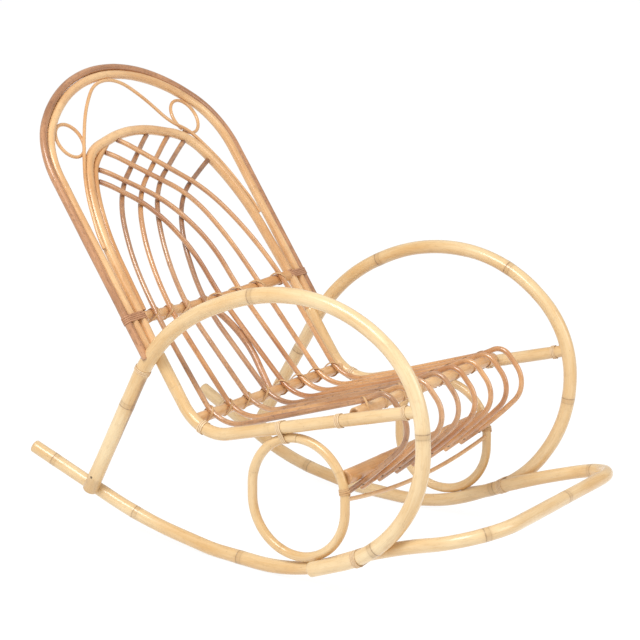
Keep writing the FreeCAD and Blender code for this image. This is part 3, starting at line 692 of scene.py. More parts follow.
def moving_frame(path, s, side):
    """Points, and the two directions across the path, at the stations s: the first is the side
    direction with its part along the path taken off, the second is square to both."""
    along = distances(path)
    ahead = between(s, along, np.gradient(path, along, axis=0))
    ahead /= np.linalg.norm(ahead, axis=1)[:, None]
    side = np.asarray(side, float)
    first = side - (ahead @ side)[:, None] * ahead
    first /= np.linalg.norm(first, axis=1)[:, None]
    return between(s, along, path), first, np.cross(ahead, first)


# Stations near a rattan joint, close enough to carry its thin line
JOINT_STATIONS = np.array((0, 0.4, 0.9, 1.4, 2, 2.8, 4, 6, 8, 9, 10, 12, 15)) * MM
POLE_STEP = 0.005
CAP_BEVEL = 0.0012

# A joint's swelling and groove, as shares of the radius and widths along the pole
SWELL = (0.026, 0.009)
GROOVE = (0.02, 0.0009)

# A joint's dark line, the fainter line above it and the stained band, as places past the joint
# and widths
LINE_WIDTH = 0.0011
UPPER_LINE = (0.009, 0.0009)
BAND = (0.0045, 0.0075)

# Wavering of a pole's radius: wave lengths along it, shares of the radius, and the oval's share
WAVE_LENGTHS = np.array((0.31, 0.17, 0.083))
WAVE_SHARES = np.array((0.011, 0.008, 0.004))
OVAL_SHARE = 0.012


def bell(x, width):
    """Bell curve of height one: e to the minus square of x over the width."""
    return np.exp(-(x / width) ** 2)


def spaced_joints(length, seed, spacing=JOINT_SPACING):
    """Joints at about the spacing that rattan grows them, each a little off its place."""
    draw = np.random.default_rng(seed)
    count = max(int(round(length / spacing)), 1)
    places = (np.arange(count) + 0.5) * length / count
    return places + draw.uniform(-0.2, 0.2, count) * length / count


def pole(name, node, path, diameter, side, material, seed, joints=None, taper=((0, 1), (1, 1)),
         warm=0.0, stain_and_shade=None, mark=0.15):
    """Round pole that stands for its CAD node: a circle carried along the path. Its radius swells
    at each joint as a bell curve with a fine groove in its middle, and wavers as three sines along
    the pole and one around it. Attributes hold the unrolled place, joint line and band, cut core,
    tone, and a field of real stains and painted shade."""
    draw = np.random.default_rng(seed)
    length = length_of(path)
    joints = spaced_joints(length, seed) if joints is None else np.asarray(joints, float)
    near = (joints[:, None] + np.concatenate([-JOINT_STATIONS, JOINT_STATIONS])).ravel()
    near = near[(near > 2 * CAP_BEVEL) & (near < length - 2 * CAP_BEVEL)]
    body = np.linspace(CAP_BEVEL, length - CAP_BEVEL, max(int(length / POLE_STEP), 4))
    body = np.unique(np.round(np.concatenate([body, near]), 5))
    s = np.concatenate([[0, 0, 0], body, [length] * 3])
    scale = np.concatenate([[0, 0.55, 0.94], np.ones(len(body)), [0.94, 0.55, 0]])
    core = np.concatenate([[1, 1, 0.3], np.zeros(len(body)), [0.3, 1, 1]])
    around = 28 if diameter > 0.012 else 20
    angle = circle(around)
    off = s[:, None] - joints
    swell = SWELL[0] * bell(off, SWELL[1]) - GROOVE[0] * bell(off, GROOVE[1])
    waves = np.sin(2 * math.pi * s[:, None] / WAVE_LENGTHS + draw.uniform(0, 6.3, 3))
    waver = (WAVE_SHARES * (waves - 0.6)).sum(1)
    oval = OVAL_SHARE * np.sin(2 * angle + 5 * s[:, None] + draw.uniform(0, 6.3))
    shares, scales = zip(*taper)
    size = np.interp(s / length, shares, scales) * (1 + swell.sum(1) + waver) * scale
    radius = diameter / 2 * size[:, None] * (1 + oval)
    points, first, second = moving_frame(path, s, side)
    out = np.cos(angle)[None, :, None] * first[:, None] + np.sin(angle)[None, :, None] * second[:, None]
    rows = points[:, None] + radius[..., None] * out
    unrolled = np.stack(np.broadcast_arrays(
        (s + seed * 1.37)[:, None], radius * np.cos(angle), radius * np.sin(angle)), axis=-1)
    line = bell(off, LINE_WIDTH) + 0.5 * bell(off - UPPER_LINE[0], UPPER_LINE[1])
    band = bell(off - BAND[0], BAND[1])
    fields = {
        "unrolled": unrolled,
        "joint_line": mark * np.clip(line.sum(1), 0, 1)[:, None],
        "joint_band": mark * np.clip(band.sum(1), 0, 1)[:, None],
        "cut_core": core[:, None],
        "tone": np.full((1, 1), float(warm)),
        "stain_and_shade": np.zeros((1, 1)),
    }
    if stain_and_shade is not None:
        fields["stain_and_shade"] = stain_and_shade(s[:, None], out)
    place(mesh_object(name, [(rows, fields)], material), node)


# Streak up the front of the right hoop's leg, partly a real brown stain and partly painted shade
# on its forward, lower side: where it begins, rises over and ends, its side of the pole, and the
# height of the warm foot
STREAK_START = 0.10
STREAK_RISE = 0.17
STREAK_END = 0.285
STREAK_SHADE_SIDE = (0.45, -0.85, -0.25)
WARM_FOOT = 0.034

# Painted shade at the ribs' tops by the arch and how far down the smoke reaches, then smoke and tone of
# single ribs
RIB_TOP_SHADE = 0.007
SMOKE_END = 0.36
RIB_SMOKE = {1: 0.35, 2: 0.3, 3: 0.4, 4: 0.7, 5: 0.15}
RIB_TONES = {2: 0.05, 3: -0.1, 4: 0.05, 5: 0.3, 6: 0.15}
SMOKED_RIBS = (1, 3, 4)


def leg_stain_and_shade(s, out):
    """Streak on the front of a hoop's leg that widens as it rises, partly real stain and partly painted shade
    on the side facing forward and down, and a warm band at the foot.
    """
    rise = np.clip((s - STREAK_START) / STREAK_RISE, 0, 1)
    # Painted shade and stain, strongest where the surface faces the streak's side
    streak_and_shade = np.clip((out @ unit(STREAK_SHADE_SIDE) - 0.98 + 0.45 * rise) / 0.08, 0, 1)
    foot = 0.35 * np.clip((WARM_FOOT - s) / 0.004, 0, 1)
    return 0.9 * streak_and_shade * np.clip((STREAK_END - s) / 0.01, 0, 1) * (rise > 0) + foot


def rib_smoke_and_top_shade(smoke):
    """Painted shade at a rib's top, where it meets the arch, and smoke that fades towards the seat."""
    def strength(s, out):
        # The bell at the top is painted shade; the smoke is the rib's own colour
        return 0.9 * bell(s, RIB_TOP_SHADE) + smoke * np.clip((SMOKE_END - s) / 0.1, 0, 1)
    return strength


def peel(path, side, width, deep, seed):
    """Flat peel: a rounded oblong, width along the side direction, carried along the path.
    Returns the rows of points and their attributes."""
    length = length_of(path)
    body = np.linspace(0.3 * MM, length - 0.3 * MM, max(int(length / 0.0016), 12))
    s = np.concatenate([[0, 0], body, [length, length]])
    scale = np.concatenate([[0, 0.8], np.ones(len(body)), [0.8, 0]])
    angle = circle(14)
    wide = np.sign(np.cos(angle)) * np.abs(np.cos(angle)) ** 0.45 * width / 2
    thick = np.sign(np.sin(angle)) * np.abs(np.sin(angle)) ** 0.75 * deep / 2
    points, first, second = moving_frame(path, s, side)
    shape = wide[None, :, None] * first[:, None] + thick[None, :, None] * second[:, None]
    rows = points[:, None] + scale[:, None, None] * shape
    unrolled = np.stack(np.broadcast_arrays((s + seed * 1.37)[:, None], wide[None], thick[None]), axis=-1)
    # Painted shade towards the strip's edges, where the turns meet
    gap_shade = np.abs(wide / (width / 2)) ** 4
    return rows, {"unrolled": unrolled, "gap_shade": np.broadcast_to(gap_shade, rows.shape[:2])}


def coil(poles, axis, across, turns, pitch):
    """Coil drawn tight round poles given by centre and radius: at each angle it stands on the
    pole that reaches farthest that way, and the level rises by the pitch in each turn."""
    axis = unit(axis)
    across = unit(across - axis * (axis @ across))
    deep = np.cross(axis, across)
    angle = np.linspace(0, 2 * math.pi * turns, 56 * turns + 1) - math.pi / 2
    out = np.cos(angle)[:, None] * across + np.sin(angle)[:, None] * deep
    middle = np.mean([centre for centre, radius in poles], axis=0)
    flat = np.array([centre - middle for centre, radius in poles])
    flat -= (flat @ axis)[:, None] * axis
    radii = np.array([radius for centre, radius in poles])
    far = (out @ flat.T + radii).argmax(1)
    level = (angle - angle[0]) / (2 * math.pi) * pitch - turns * pitch / 2
    return middle + level[:, None] * axis + flat[far] + radii[far][:, None] * out


def add(tree, kind, inputs=None, **settings):
    """New shader node with its settings; an input gets a value, or a link from a node or a socket."""
    node = tree.nodes.new("ShaderNode" + kind)
    for key, value in settings.items():
        setattr(node, key, value)
    for key, value in (inputs or {}).items():
        if isinstance(value, bpy.types.Node):
            value = value.outputs[0]
        if isinstance(value, bpy.types.NodeSocket):
            tree.links.new(value, node.inputs[key])
        else:
            node.inputs[key].default_value = value
    return node


def new_tree(name):
    """Material with its own empty node tree."""
    material = bpy.data.materials.get(name)
    if material:
        bpy.data.materials.remove(material)
    material = bpy.data.materials.new(name)
    material.use_nodes = True
    material.node_tree.nodes.clear()
    return material, material.node_tree


def shade(colour):
    """Colour with full cover."""
    return (*colour, 1.0)


# Lengths of the patterns on a rattan pole and on peel, along it and across it
TONE_SIZE = (0.150, 0.030)
FIBRE_SIZE = (0.060, 0.0012)
MOTTLE_SIZE = (0.016, 0.007)
SPECK_SIZE = (0.0065, 0.0022)
PEEL_FIBRE_SIZE = (0.018, 0.0006)


def rattan(name, light, deep, joint_and_shade, gloss, mottle, fleck, rare, coat):
    """Round rattan pole, scraped and clear varnished: long fibres under a thin gloss, paler and
    deeper stretches, pinkish stains and a thin dark line at each joint, and small dark flecks. The
    stain field mixed in here also carries painted shade on some poles."""
    material, tree = new_tree(name)
    unrolled = add(tree, "Attribute", attribute_name="unrolled").outputs["Vector"]
    fields = ("tone", "joint_line", "joint_band", "cut_core", "stain_and_shade")
    tone, line, band, core, stain_and_shade = [
        add(tree, "Attribute", attribute_name=field).outputs["Fac"] for field in fields]
    noises = []
    for (long, wide), detail, rough in (
            (TONE_SIZE, 2.0, 0.5), (FIBRE_SIZE, 3.0, 0.6), (MOTTLE_SIZE, 5.0, 0.7), (SPECK_SIZE, 2.0, 0.5)):
        fine = (1 / long, 1 / wide, 1 / wide)
        scaled = add(tree, "VectorMath", {0: unrolled, 1: fine}, operation="MULTIPLY")
        noise = add(tree, "TexNoise", {"Vector": scaled, "Scale": 1.0, "Detail": detail, "Roughness": rough})
        noises.append(noise.outputs["Fac"])
    slow, fibre, patch, speck = noises
    # Tone: slow stretches and fibres move the colour from light to deep
    slow_part = add(tree, "MapRange", {0: slow, 1: 0.32, 2: 0.72, 3: 0.0, 4: 0.75})
    fibre_part = add(tree, "MapRange", {0: fibre, 1: 0.3, 2: 0.75, 3: -0.12, 4: 0.3})
    summed = add(tree, "Math", {0: slow_part, 1: fibre_part}, operation="ADD")
    toned = add(tree, "Math", {0: summed, 1: tone}, operation="ADD", use_clamp=True)
    base = add(tree, "Mix", {0: toned, 6: shade(light), 7: shade(deep)}, data_type="RGBA")
    # Stains: patches that are strongest beside the joints, and a field of real stains and painted shade
    patches = add(tree, "MapRange", {0: patch, 1: 0.52, 2: 0.8, 3: 0.0, 4: mottle})
    beside = add(tree, "Math", {0: band, 1: 0.5, 2: patches}, operation="MULTIPLY_ADD")
    stain_and_shade_share = add(tree, "Math", {0: beside, 1: stain_and_shade}, operation="ADD", use_clamp=True)
    brown = shade(0.45 * d + 0.55 * j for d, j in zip(deep, joint_and_shade))
    stained_and_shaded = add(tree, "Mix", {0: stain_and_shade_share, 6: base.outputs[2], 7: brown}, data_type="RGBA")
    # Flecks and the dark line of the joint
    flecks = add(tree, "MapRange", {0: speck, 1: rare, 2: rare + 0.08, 3: 0.0, 4: fleck})
    broken = add(tree, "MapRange", {0: patch, 1: 0.3, 2: 0.62, 3: 0.35, 4: 1.0})
    joint_part = add(tree, "Math", {0: line, 1: broken}, operation="MULTIPLY")
    dark = add(tree, "Math", {0: flecks, 1: joint_part}, operation="MAXIMUM")
    lined = add(tree, "Mix", {0: dark, 6: stained_and_shaded.outputs[2], 7: shade(joint_and_shade)}, data_type="RGBA")
    cut = shade(0.55 * d for d in deep)
    final = add(tree, "Mix", {0: core, 6: lined.outputs[2], 7: cut}, data_type="RGBA")
    rough = add(tree, "MapRange", {0: fibre, 1: 0.3, 2: 0.8, 3: gloss, 4: gloss + 0.16})
    height = add(tree, "Math", {0: fibre, 1: dark}, operation="SUBTRACT")
    bump = add(tree, "Bump", {"Strength": 0.14, "Distance": 0.25 * MM, "Height": height})
    surface = add(tree, "BsdfPrincipled", {
        "Base Color": final.outputs[2], "Roughness": rough, "Normal": bump, "IOR": 1.5,
        "Coat Weight": coat, "Coat Roughness": 0.17, "Coat IOR": 1.62})
    add(tree, "OutputMaterial", {"Surface": surface})
    return material


def rattan_peel(name, light, deep, joint_and_shade):
    """Split outer skin of rattan, smooth and half gloss: fine fibres along it, with painted shade
    in the gaps between the turns."""
    material, tree = new_tree(name)
    unrolled = add(tree, "Attribute", attribute_name="unrolled").outputs["Vector"]
    gap_shade_fac = add(tree, "Attribute", attribute_name="gap_shade").outputs["Fac"]
    long, wide = PEEL_FIBRE_SIZE
    fine = (1 / long, 1 / wide, 1 / wide)
    scaled = add(tree, "VectorMath", {0: unrolled, 1: fine}, operation="MULTIPLY")
    fibre = add(tree, "TexNoise", {"Vector": scaled, "Scale": 1.0, "Detail": 3.0}).outputs["Fac"]
    spread = add(tree, "MapRange", {0: fibre, 1: 0.32, 2: 0.7})
    base = add(tree, "Mix", {0: spread, 6: shade(light), 7: shade(deep)}, data_type="RGBA")
    # Painted shade in the gaps between the turns, in the joint colour
    gap_shade = add(tree, "Math", {0: gap_shade_fac, 1: 0.55}, operation="MULTIPLY")
    gap_shaded = add(tree, "Mix", {0: gap_shade, 6: base.outputs[2], 7: shade(joint_and_shade)}, data_type="RGBA")
    bump = add(tree, "Bump", {"Strength": 0.3, "Distance": 0.15 * MM, "Height": fibre})
    surface = add(tree, "BsdfPrincipled", {
        "Base Color": gap_shaded.outputs[2], "Normal": bump, "IOR": 1.5, "Roughness": 0.42})
    add(tree, "OutputMaterial", {"Surface": surface})
    return material


def nail_iron(name, colour):
    """Wire nail head, hammered and dulled: dark iron with rubbed bright spots half a millimetre wide."""
    material, tree = new_tree(name)
    place_node = add(tree, "TexCoord")
    spots = {"Vector": place_node.outputs["Object"], "Scale": 1 / (0.5 * MM), "Detail": 3.0}
    grit = add(tree, "TexNoise", spots).outputs["Fac"]
    rubbed = add(tree, "MapRange", {0: grit, 1: 0.45, 2: 0.75})
    bright = shade(min(1.0, 2.4 * c) for c in colour)
    base = add(tree, "Mix", {0: rubbed, 6: shade(colour), 7: bright}, data_type="RGBA")
    rough = add(tree, "MapRange", {0: grit, 1: 0.3, 2: 0.7, 3: 0.32, 4: 0.6})
    surface = add(tree, "BsdfPrincipled", {
        "Base Color": base.outputs[2], "Roughness": rough, "Metallic": 1.0})
    add(tree, "OutputMaterial", {"Surface": surface})
    return material


FINISH_NAMES = {
    "pale": "varnished pale rattan",
    "golden": "varnished golden rattan",
    "honey": "varnished honey rattan",
    "smoked": "smoked rattan",
    "trim": "dark trim rattan",
    "peel": "rattan peel",
    "golden_peel": "golden rattan peel",
    "red_peel": "reddish rattan peel",
    "nail": "dulled nail iron",
}

# Roughness of the polish, strength of the stains, strength and rarity of the flecks, varnish
FINISH_LOOKS = {
    "pale": (0.26, 0.35, 0.5, 0.70, 0.4),
    "golden": (0.28, 0.5, 0.6, 0.68, 0.4),
    "honey": (0.24, 0.7, 0.6, 0.67, 1.0),
    "smoked": (0.26, 0.9, 0.8, 0.62, 1.0),
    "trim": (0.32, 1.0, 0.6, 0.62, 0.5),
}


def coated(kind, colours):
    """Material of one finish, made on its first use."""
    name = FINISH_NAMES[kind]
    material = bpy.data.materials.get(name)
    if material:
        return material
    joint_and_shade = tuple(colours.joint_and_shade)
    if kind == "nail":
        return nail_iron(name, tuple(colours.nail))
    light = tuple(getattr(colours, kind))
    deep = tuple(getattr(colours, kind + "_deep"))
    if kind.endswith("peel"):
        return rattan_peel(name, light, deep, joint_and_shade)
    return rattan(name, light, deep, joint_and_shade, *FINISH_LOOKS[kind])


def settings(context):
    """Sizes, colours and the centre lines that follow from the sizes."""
    scene = context.scene
    return scene.rocker_sizes, scene.rocker_colours, CentreLines(scene.rocker_sizes)


class ROCKER_OT_runner(bpy.types.Operator):
    """Build the runner pole"""

    bl_idname = "rocker.runner"
    bl_label = "Runner"

    def execute(self, context):
        sizes, colours, lines = settings(context)
        pole("runner_pole", "runner", lines.runner, sizes.runner_d, UP,
             coated("pale", colours), 1, RUNNER_JOINTS, warm=0.15, mark=0.65)
        return {"FINISHED"}


class ROCKER_OT_hoops(bpy.types.Operator):
    """Build the two arm hoops"""

    bl_idname = "rocker.hoops"
    bl_label = "Arm hoops"

    def execute(self, context):
        sizes, colours, lines = settings(context)
        right, left = lines.sides
        thin_front = ((0, 1), (0.42, 1), (0.6, 0.9), (0.72, 0.93), (1, 0.97))
        look = coated("pale", colours)
        pole("arm_hoop_right", "hoop_right", right["hoop"], right["d"], ACROSS, look, 2,
             HOOP_RIGHT_JOINTS, thin_front, stain_and_shade=leg_stain_and_shade, mark=0.75)
        pole("arm_hoop_left", "hoop_left", left["hoop"], left["d"], ACROSS, look, 3,
             HOOP_LEFT_JOINTS, warm=0.2, mark=0.75)
        return {"FINISHED"}


class ROCKER_OT_rails(bpy.types.Operator):
    """Build the two seat rails"""

    bl_idname = "rocker.rails"
    bl_label = "Seat rails"

    def execute(self, context):
        sizes, colours, lines = settings(context)
        for seed, (word, one) in enumerate(zip(("right", "left"), lines.sides), 4):
            pole("seat_rail_pole_" + word, "seat_rail_" + word, one["rail"], sizes.rail_d,
                 ACROSS, coated("pale", colours), seed, warm=0.3)
        return {"FINISHED"}


class ROCKER_OT_arches(bpy.types.Operator):
    """Build the arches of the back and the liner pole"""

    bl_idname = "rocker.arches"
    bl_label = "Back arches"

    def execute(self, context):
        sizes, colours, lines = settings(context)
        poles = (
            ("inner_arch", lines.inner, sizes.inner_arch_d, "golden", "golden_cane", 0.0, 1),
            ("outer_arch", lines.outer, sizes.outer_arch_d, "golden", "golden_cane", 0.05, 1),
            ("trim_arch", lines.trim, sizes.trim_d, "trim", "brown_cane", 0.0, 1),
            ("liner", lines.liner, sizes.liner_d, "golden", "golden_cane", 0.5, 0.7),
        )
        for seed, (node, line, diameter, look, slot, warm, end) in enumerate(poles, 6):
            pole(node + "_pole", node, line, diameter, lines.back_out, coated(look, colours), seed,
                 taper=((0, 1), (0.9, 1), (1, end)), warm=warm)
        return {"FINISHED"}


class ROCKER_OT_strand(bpy.types.Operator):
    """Build the pointed strand and the scroll rings"""

    bl_idname = "rocker.strand"
    bl_label = "Strand and scrolls"

    def execute(self, context):
        sizes, colours, lines = settings(context)
        strand, rings = lines.strand_lines()
        pieces = (
            ("pointed_strand_pole", "pointed_strand", strand, 0.25),
            ("scroll_right", "scroll_ring_right", rings[0], 0.3),
            ("scroll_left", "scroll_ring_left", rings[1], 0.3),
        )
        for seed, (name, node, line, warm) in enumerate(pieces, 10):
            pole(name, node, line, sizes.strand_d, lines.back_out,
                 coated("golden", colours), seed, warm=warm)
        return {"FINISHED"}


class ROCKER_OT_crossbars(bpy.types.Operator):
    """Build the crossbars, the bowed strand and the centre strut"""

    bl_idname = "rocker.crossbars"
    bl_label = "Crossbars and strut"

    def execute(self, context):
        sizes, colours, lines = settings(context)
        bars = (
            ("back_crossbar", lines.back_bar, sizes.bar_d, 0.3),
            ("rear_seat_crossbar", lines.rear_bar, sizes.bar_d, 0.1),
            ("front_seat_crossbar", lines.front_bar, sizes.bar_d, 0.0),
            ("lower_crossbar", lines.lower_bar, sizes.lower_bar_d, 0.45),
            ("bowed_strand", lines.bowed, sizes.bowed_d, 0.0),
        )
        for seed, (node, line, diameter, warm) in enumerate(bars, 13):
            pole(node + "_pole", node, line, diameter, UP, coated("golden", colours), seed,
                 warm=warm)
        pole("centre_strut_pole", "centre_strut", lines.strut, sizes.strut_d, ACROSS,
             coated("trim", colours), 18)
        return {"FINISHED"}


class ROCKER_OT_side_rings(bpy.types.Operator):
    """Build the two side rings"""

    bl_idname = "rocker.side_rings"
    bl_label = "Side rings"

    def execute(self, context):
        sizes, colours, lines = settings(context)
        rings = (("right", lines.ring, 0.2), ("left", mirrored(lines.ring), 0.3))
        look = coated("pale", colours)
        for seed, (word, line, warm) in enumerate(rings, 19):
            pole("side_ring_pole_" + word, "side_ring_" + word, line, sizes.ring_d, ACROSS,
                 look, seed, warm=warm)
        return {"FINISHED"}


class ROCKER_OT_ribs(bpy.types.Operator):
    """Build the ribs of back and seat with their lashings and nails"""

    bl_idname = "rocker.ribs"
    bl_label = "Ribs"

    def execute(self, context):
        sizes, colours, lines = settings(context)
        ribs = lines.rib_lines()
        for number, line in zip(RIB_NAMES, ribs):
            look = coated("smoked" if number in SMOKED_RIBS else "honey", colours)
            pole("rib_pole_%d" % number, "rib_%d" % number, line, sizes.rib_d, ACROSS, look,
                 20 + number, warm=RIB_TONES.get(number, 0.0),
                 stain_and_shade=rib_smoke_and_top_shade(RIB_SMOKE.get(number, 0.0)), mark=0.3)
        bars = (("back", lines.back_bar), ("rear", lines.rear_bar), ("front", lines.front_bar))
        for seed, (word, bar) in enumerate(bars, 30):
            loops = []
            for k, line in enumerate(ribs):
                path, normal = lashing_line(line, bar, sizes, 1 if k < 4 else -1)
                loops.append(peel(path, normal, 1.35 * sizes.peel_width, sizes.peel_deep, seed + 0.1 * k))
            piece = mesh_object("rib_lashing_" + word, loops, coated("golden_peel", colours))
            place(piece, "rib_lashings_" + word)
        heads = []
        for line in ribs:
            i, j = closest(line, lines.lower_bar[::2])
            out = unit(line[i] - lines.lower_bar[::2][j])
            heads.append(nail_head(line[i] + out * (sizes.rib_d / 2), out, sizes.nail_d))
        place(mesh_object("rib_nails", heads, coated("nail", colours)), "nails_rib_ends")
        return {"FINISHED"}


def lashing_line(rib, bar, sizes, side):
    """Loop in a plane set slantwise over a rib and under its bar, its ends below the bar, and the
    plane's normal."""
    i, j = closest(rib, bar)
    out = unit(rib[i] - bar[j])
    along = unit(np.array(ACROSS) - out * out[0])
    cross = np.cross(out, along)
    w = along * side * math.cos(LASHING_SLANT) + cross * math.sin(LASHING_SLANT)
    bar_r = sizes.bar_d / 2
    rib_r = sizes.rib_d / 2
    deep = sizes.peel_deep
    wide = bar_r / math.sin(LASHING_SLANT) + deep / 2
    narrow = rib_r / math.cos(LASHING_SLANT) + deep / 2
    top = bar_r + 2 * rib_r + deep / 2
    under = bar_r + deep / 2
    plan = ((0.12 * wide, -under), (wide, -under), (wide, 0.5 * top), (narrow, top),
            (-narrow, top), (-wide, 0.5 * top), (-wide, -under), (-0.12 * wide, -under))
    return rounded([bar[j] + w * a + out * b for a, b in plan], step=0.001), np.cross(w, out)


def nail_head(base, out, diameter):
    """Low dome: circles whose radius falls as the height rises from the wood."""
    height = np.array((-1.0, -1.0, 0.3, 0.8, 1.1, 1.2)) * MM
    scale = np.array((0.0, 1.0, 1.0, 0.8, 0.4, 0.0))
    angle = circle(16)
    first = unit(np.cross(out, (0.31, 0.5, 0.81)))
    second = np.cross(out, first)
    ring = np.cos(angle)[:, None] * first + np.sin(angle)[:, None] * second
    rows = base + height[:, None, None] * out + scale[:, None, None] * diameter / 2 * ring[None]
    return rows, {}


class ROCKER_OT_bindings(bpy.types.Operator):
    """Build the peel straps, lashings and thin windings, and the nails of the hoops"""

    bl_idname = "rocker.bindings"
    bl_label = "Bindings"

    def execute(self, context):
        sizes, colours, lines = settings(context)
        deep = sizes.peel_deep
        groups = {}

        def wrap(node, poles, axis, turns, thin=False, way=ACROSS):
            pitch = THIN_PITCH if thin else STRAP_PITCH
            width = sizes.thin_width if thin else sizes.peel_width
            path = coil([(centre, r + deep / 2) for centre, r in poles], axis, way, turns, pitch)
            strips = groups.setdefault(node, [])
            strips.append(peel(path, axis, width, deep, 40 + len(groups) + 0.3 * len(strips)))

        trim_x = OUTER_ARCH_X + lines.trim_step
        ring_left = mirrored(lines.ring)
        tie_run = lines.at(0, *RUNNER_FRONT) - lines.at(0, *REST_FRONT)
        ring_angle = (LOWER_BAR_ANGLE + BOWED_ANGLE) / 2 + math.radians(3)
        ring_axis = lines.on_ring(ring_angle - 0.05) - lines.on_ring(ring_angle + 0.05)
        for one, ring in zip(lines.sides, (lines.ring, ring_left)):
            sign = one["sign"]
            inner_at = meet(lines.inner, lines.back(sign * 2 * HOOP_X, BACK_BAR_T), lines.back(0, BACK_BAR_T))
            trim_at = lines.back(sign * trim_x, BACK_BAR_T)
            wrap("straps_back_crossbar", [(inner_at, lines.inner_r), (trim_at, sizes.trim_d / 2)],
                 lines.up_back, 4)
            run = one["rail_run"]
            bend = math.acos(lines.up_back @ run) / 2
            inward = unit(lines.up_back + run) * CORNER_R * (1 / math.sin(bend) - 1)
            rear_at = lines.back(sign * lines.rail_x, 0) + inward
            wrap("straps_rear_corner", [(rear_at, lines.rail_r)], lines.up_back - run, 3)
            i, j = closest(ring, one["rail"])
            wrap("straps_side_ring", [(ring[i], sizes.ring_d / 2), (one["rail"][j], lines.rail_r)], run, 3,
                 way=np.cross(run, one["rail"][j] - ring[i]))
            front = one["rail_front"]
            behind_bar = lines.at(front[0], FRONT_BAR[0] + lines.bar_r + STRAP_BEHIND, FRONT_BAR[1])
            front_at = front + run * ((behind_bar - front) @ run)
            wrap("straps_front_crossbar", [(front_at, lines.rail_r)], run, 3)
            thin_at = front - run * (one["d"] / 2 + 3.5 * THIN_PITCH + WINDING_BEHIND)
            wrap("windings_rail", [(thin_at, lines.rail_r)], run, 3, True)
            leg_r = one["d"] / 2
            ends = []
            for drop in LEG_WRAP_DROPS:
                level = one["crossing"] - (0, 0, drop * leg_r)
                ends.append(meet(one["hoop"], level - (0, leg_r, 0), level + (0, 4 * leg_r, 0)))
            wrap("lashings_hoop_leg", [((ends[0] + ends[1]) / 2, leg_r)], ends[0] - ends[1], 3, True)
            tie_x = sign * lines.runner_x
            on_runner = meet(lines.runner, lines.at(tie_x, TIE_Y, -0.1), lines.at(tie_x, TIE_Y, 0.3))
            on_hoop = meet(one["hoop"], lines.at(one["x"], TIE_Y, -0.1), lines.at(one["x"], TIE_Y, 0.2))
            wrap("windings_runner", [(on_runner, lines.runner_r), (on_hoop, leg_r)], tie_run, 4, True)
            ring_at = lines.on_ring(ring_angle) if sign < 0 else mirrored(lines.on_ring(ring_angle))
            wrap("lashings_lower_crossbar", [(ring_at, sizes.ring_d / 2)], ring_axis, 3)
        looks = {"straps_back_crossbar": "red_peel", "lashings_lower_crossbar": "golden_peel"}
        for node, strips in groups.items():
            piece = mesh_object("peel_" + node, strips, coated(looks.get(node, "peel"), colours))
            place(piece, node)
        heads = []
        for one in lines.sides:
            out = np.array((one["sign"], 0.0, 0.0))
            spot = one["foot"] + one["leg_up"] * (lines.runner_r + NAIL_ABOVE)
            heads.append(nail_head(spot + out * one["d"] / 2, out, sizes.nail_d))
        place(mesh_object("foot_nails", heads, coated("nail", colours)), "nails_hoop_feet")
        return {"FINISHED"}


def soft_box(name, spot, aim, width, height, power):
    """Area lamp that looks from a spot at an aim."""
    lamp = bpy.data.lights.new(name, "AREA")
    lamp.shape = "RECTANGLE"
    lamp.size = width
    lamp.size_y = height
    lamp.energy = power
    box = bpy.data.objects.new(name, lamp)
    box.location = spot
    box.rotation_euler = (Vector(aim) - Vector(spot)).to_track_quat("-Z", "Y").to_euler()
    bpy.context.scene.collection.objects.link(box)


# Half width of the floor, how white the camera sees it and the share of it that takes no shadow
FLOOR_HALF = 40.0
FLOOR_WHITE = 1.13
FLOOR_SHARE = 0.8


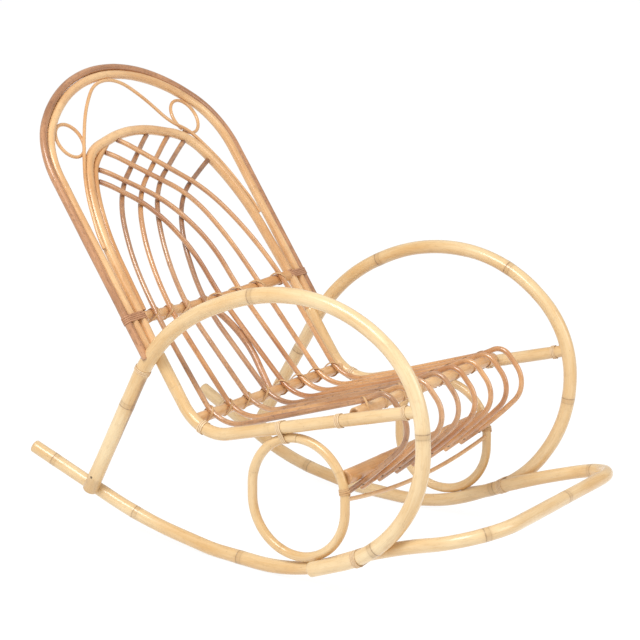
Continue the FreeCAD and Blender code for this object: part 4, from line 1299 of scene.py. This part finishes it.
class ROCKER_OT_stage(bpy.types.Operator):
    """Build the floor, the surroundings, the lamps and the camera"""

    bl_idname = "rocker.stage"
    bl_label = "Stage"

    def execute(self, context):
        scene = context.scene
        stage = scene.rocker_stage
        scene.view_settings.view_transform = "Standard"
        half = FLOOR_HALF
        corners = [(-half, -half, 0), (half, -half, 0), (half, half, 0), (-half, half, 0)]
        mesh = bpy.data.meshes.new("floor")
        mesh.from_pydata(corners, [], [(0, 1, 2, 3)])
        floor = bpy.data.objects.new("floor", mesh)
        scene.collection.objects.link(floor)
        # White paper floor: the camera and reflections see it white with a faint shadow
        material, tree = new_tree("white studio paper")
        rays = add(tree, "LightPath").outputs
        seen = add(tree, "Math", {0: rays["Is Camera Ray"], 1: rays["Is Glossy Ray"]}, operation="MAXIMUM")
        seen = add(tree, "Math", {0: seen, 1: rays["Is Transmission Ray"]}, operation="MAXIMUM")
        share = add(tree, "Math", {0: seen, 1: FLOOR_SHARE}, operation="MULTIPLY")
        paper = add(tree, "BsdfDiffuse", {"Color": (0.9, 0.9, 0.9, 1)})
        white = add(tree, "Emission", {"Color": (1, 1, 1, 1), "Strength": FLOOR_WHITE})
        mixed = add(tree, "MixShader", {0: share, 1: paper, 2: white})
        add(tree, "OutputMaterial", {"Surface": mixed})
        mesh.materials.append(material)
        world = bpy.data.worlds.new("white surroundings")
        world.use_nodes = True
        scene.world = world
        tree = world.node_tree
        tree.nodes.clear()
        rays = add(tree, "LightPath").outputs
        strength = add(tree, "MapRange", {0: rays["Is Camera Ray"], 3: stage.sky, 4: 1.0})
        light = add(tree, "Background", {"Color": (1, 1, 1, 1), "Strength": strength})
        add(tree, "OutputWorld", {"Surface": light})
        # The camera keeps its place in the chair's side view and so turns with it
        lines = CentreLines(scene.rocker_sizes)
        target = Vector(lines.at(*CAMERA_TARGET))
        level = math.cos(CAMERA_HEIGHT)
        ahead = lines.rear_way * -math.cos(CAMERA_AZIMUTH) * level + lines.up_way * math.sin(CAMERA_HEIGHT)
        toward = Vector(ahead) + Vector((math.sin(CAMERA_AZIMUTH) * level, 0, 0))
        right = Vector(lines.up_way).cross(toward).normalized()
        upward = toward.cross(right)
        key_at = target + toward * 1.9 - right * 1.2 + Vector((0, 0, 2.3))
        soft_box("key", key_at, target, 1.8, 1.4, stage.key)
        fill_at = target + toward * 1.2 + right * 2.4 + Vector((0, 0, 0.9))
        soft_box("fill", fill_at, target, 1.6, 1.6, stage.fill)
        lens = bpy.data.cameras.new("camera")
        lens.lens = CAMERA_LENS
        lens.sensor_width = 36.0
        camera = bpy.data.objects.new("camera", lens)
        camera.location = target + toward * CAMERA_DISTANCE
        camera.rotation_euler = Matrix((right, upward, toward)).transposed().to_euler()
        scene.collection.objects.link(camera)
        scene.camera = camera
        return {"FINISHED"}


class ROCKER_PT_panel(bpy.types.Panel):
    """Sizes, colours and building steps of the rocking chair"""

    bl_idname = "ROCKER_PT_panel"
    bl_label = "Rattan rocking chair"
    bl_space_type = "VIEW_3D"
    bl_region_type = "UI"
    bl_category = "Rocker"

    def draw(self, context):
        for group in (context.scene.rocker_sizes, context.scene.rocker_colours, context.scene.rocker_stage):
            box = self.layout.box()
            for name in group.__annotations__:
                box.prop(group, name)
        for operator in OPERATORS:
            self.layout.operator(operator.bl_idname)


OPERATORS = (
    ROCKER_OT_runner,
    ROCKER_OT_hoops,
    ROCKER_OT_rails,
    ROCKER_OT_arches,
    ROCKER_OT_strand,
    ROCKER_OT_crossbars,
    ROCKER_OT_side_rings,
    ROCKER_OT_ribs,
    ROCKER_OT_bindings,
    ROCKER_OT_stage,
)
GROUPS = {
    "rocker_sizes": RockerSizes,
    "rocker_colours": RockerColours,
    "rocker_stage": RockerStage,
}
CLASSES = (*GROUPS.values(), *OPERATORS, ROCKER_PT_panel)


def register():
    for cls in CLASSES:
        bpy.utils.register_class(cls)
    for name, group in GROUPS.items():
        setattr(bpy.types.Scene, name, bpy.props.PointerProperty(type=group))


def unregister():
    for name in GROUPS:
        delattr(bpy.types.Scene, name)
    for cls in reversed(CLASSES):
        bpy.utils.unregister_class(cls)


def main():
    """Chair, then its stage."""
    register()
    for operator in OPERATORS:
        step = operator.bl_idname.split(".")[1]
        getattr(bpy.ops.rocker, step)()


if __name__ == "__main__":
    main()
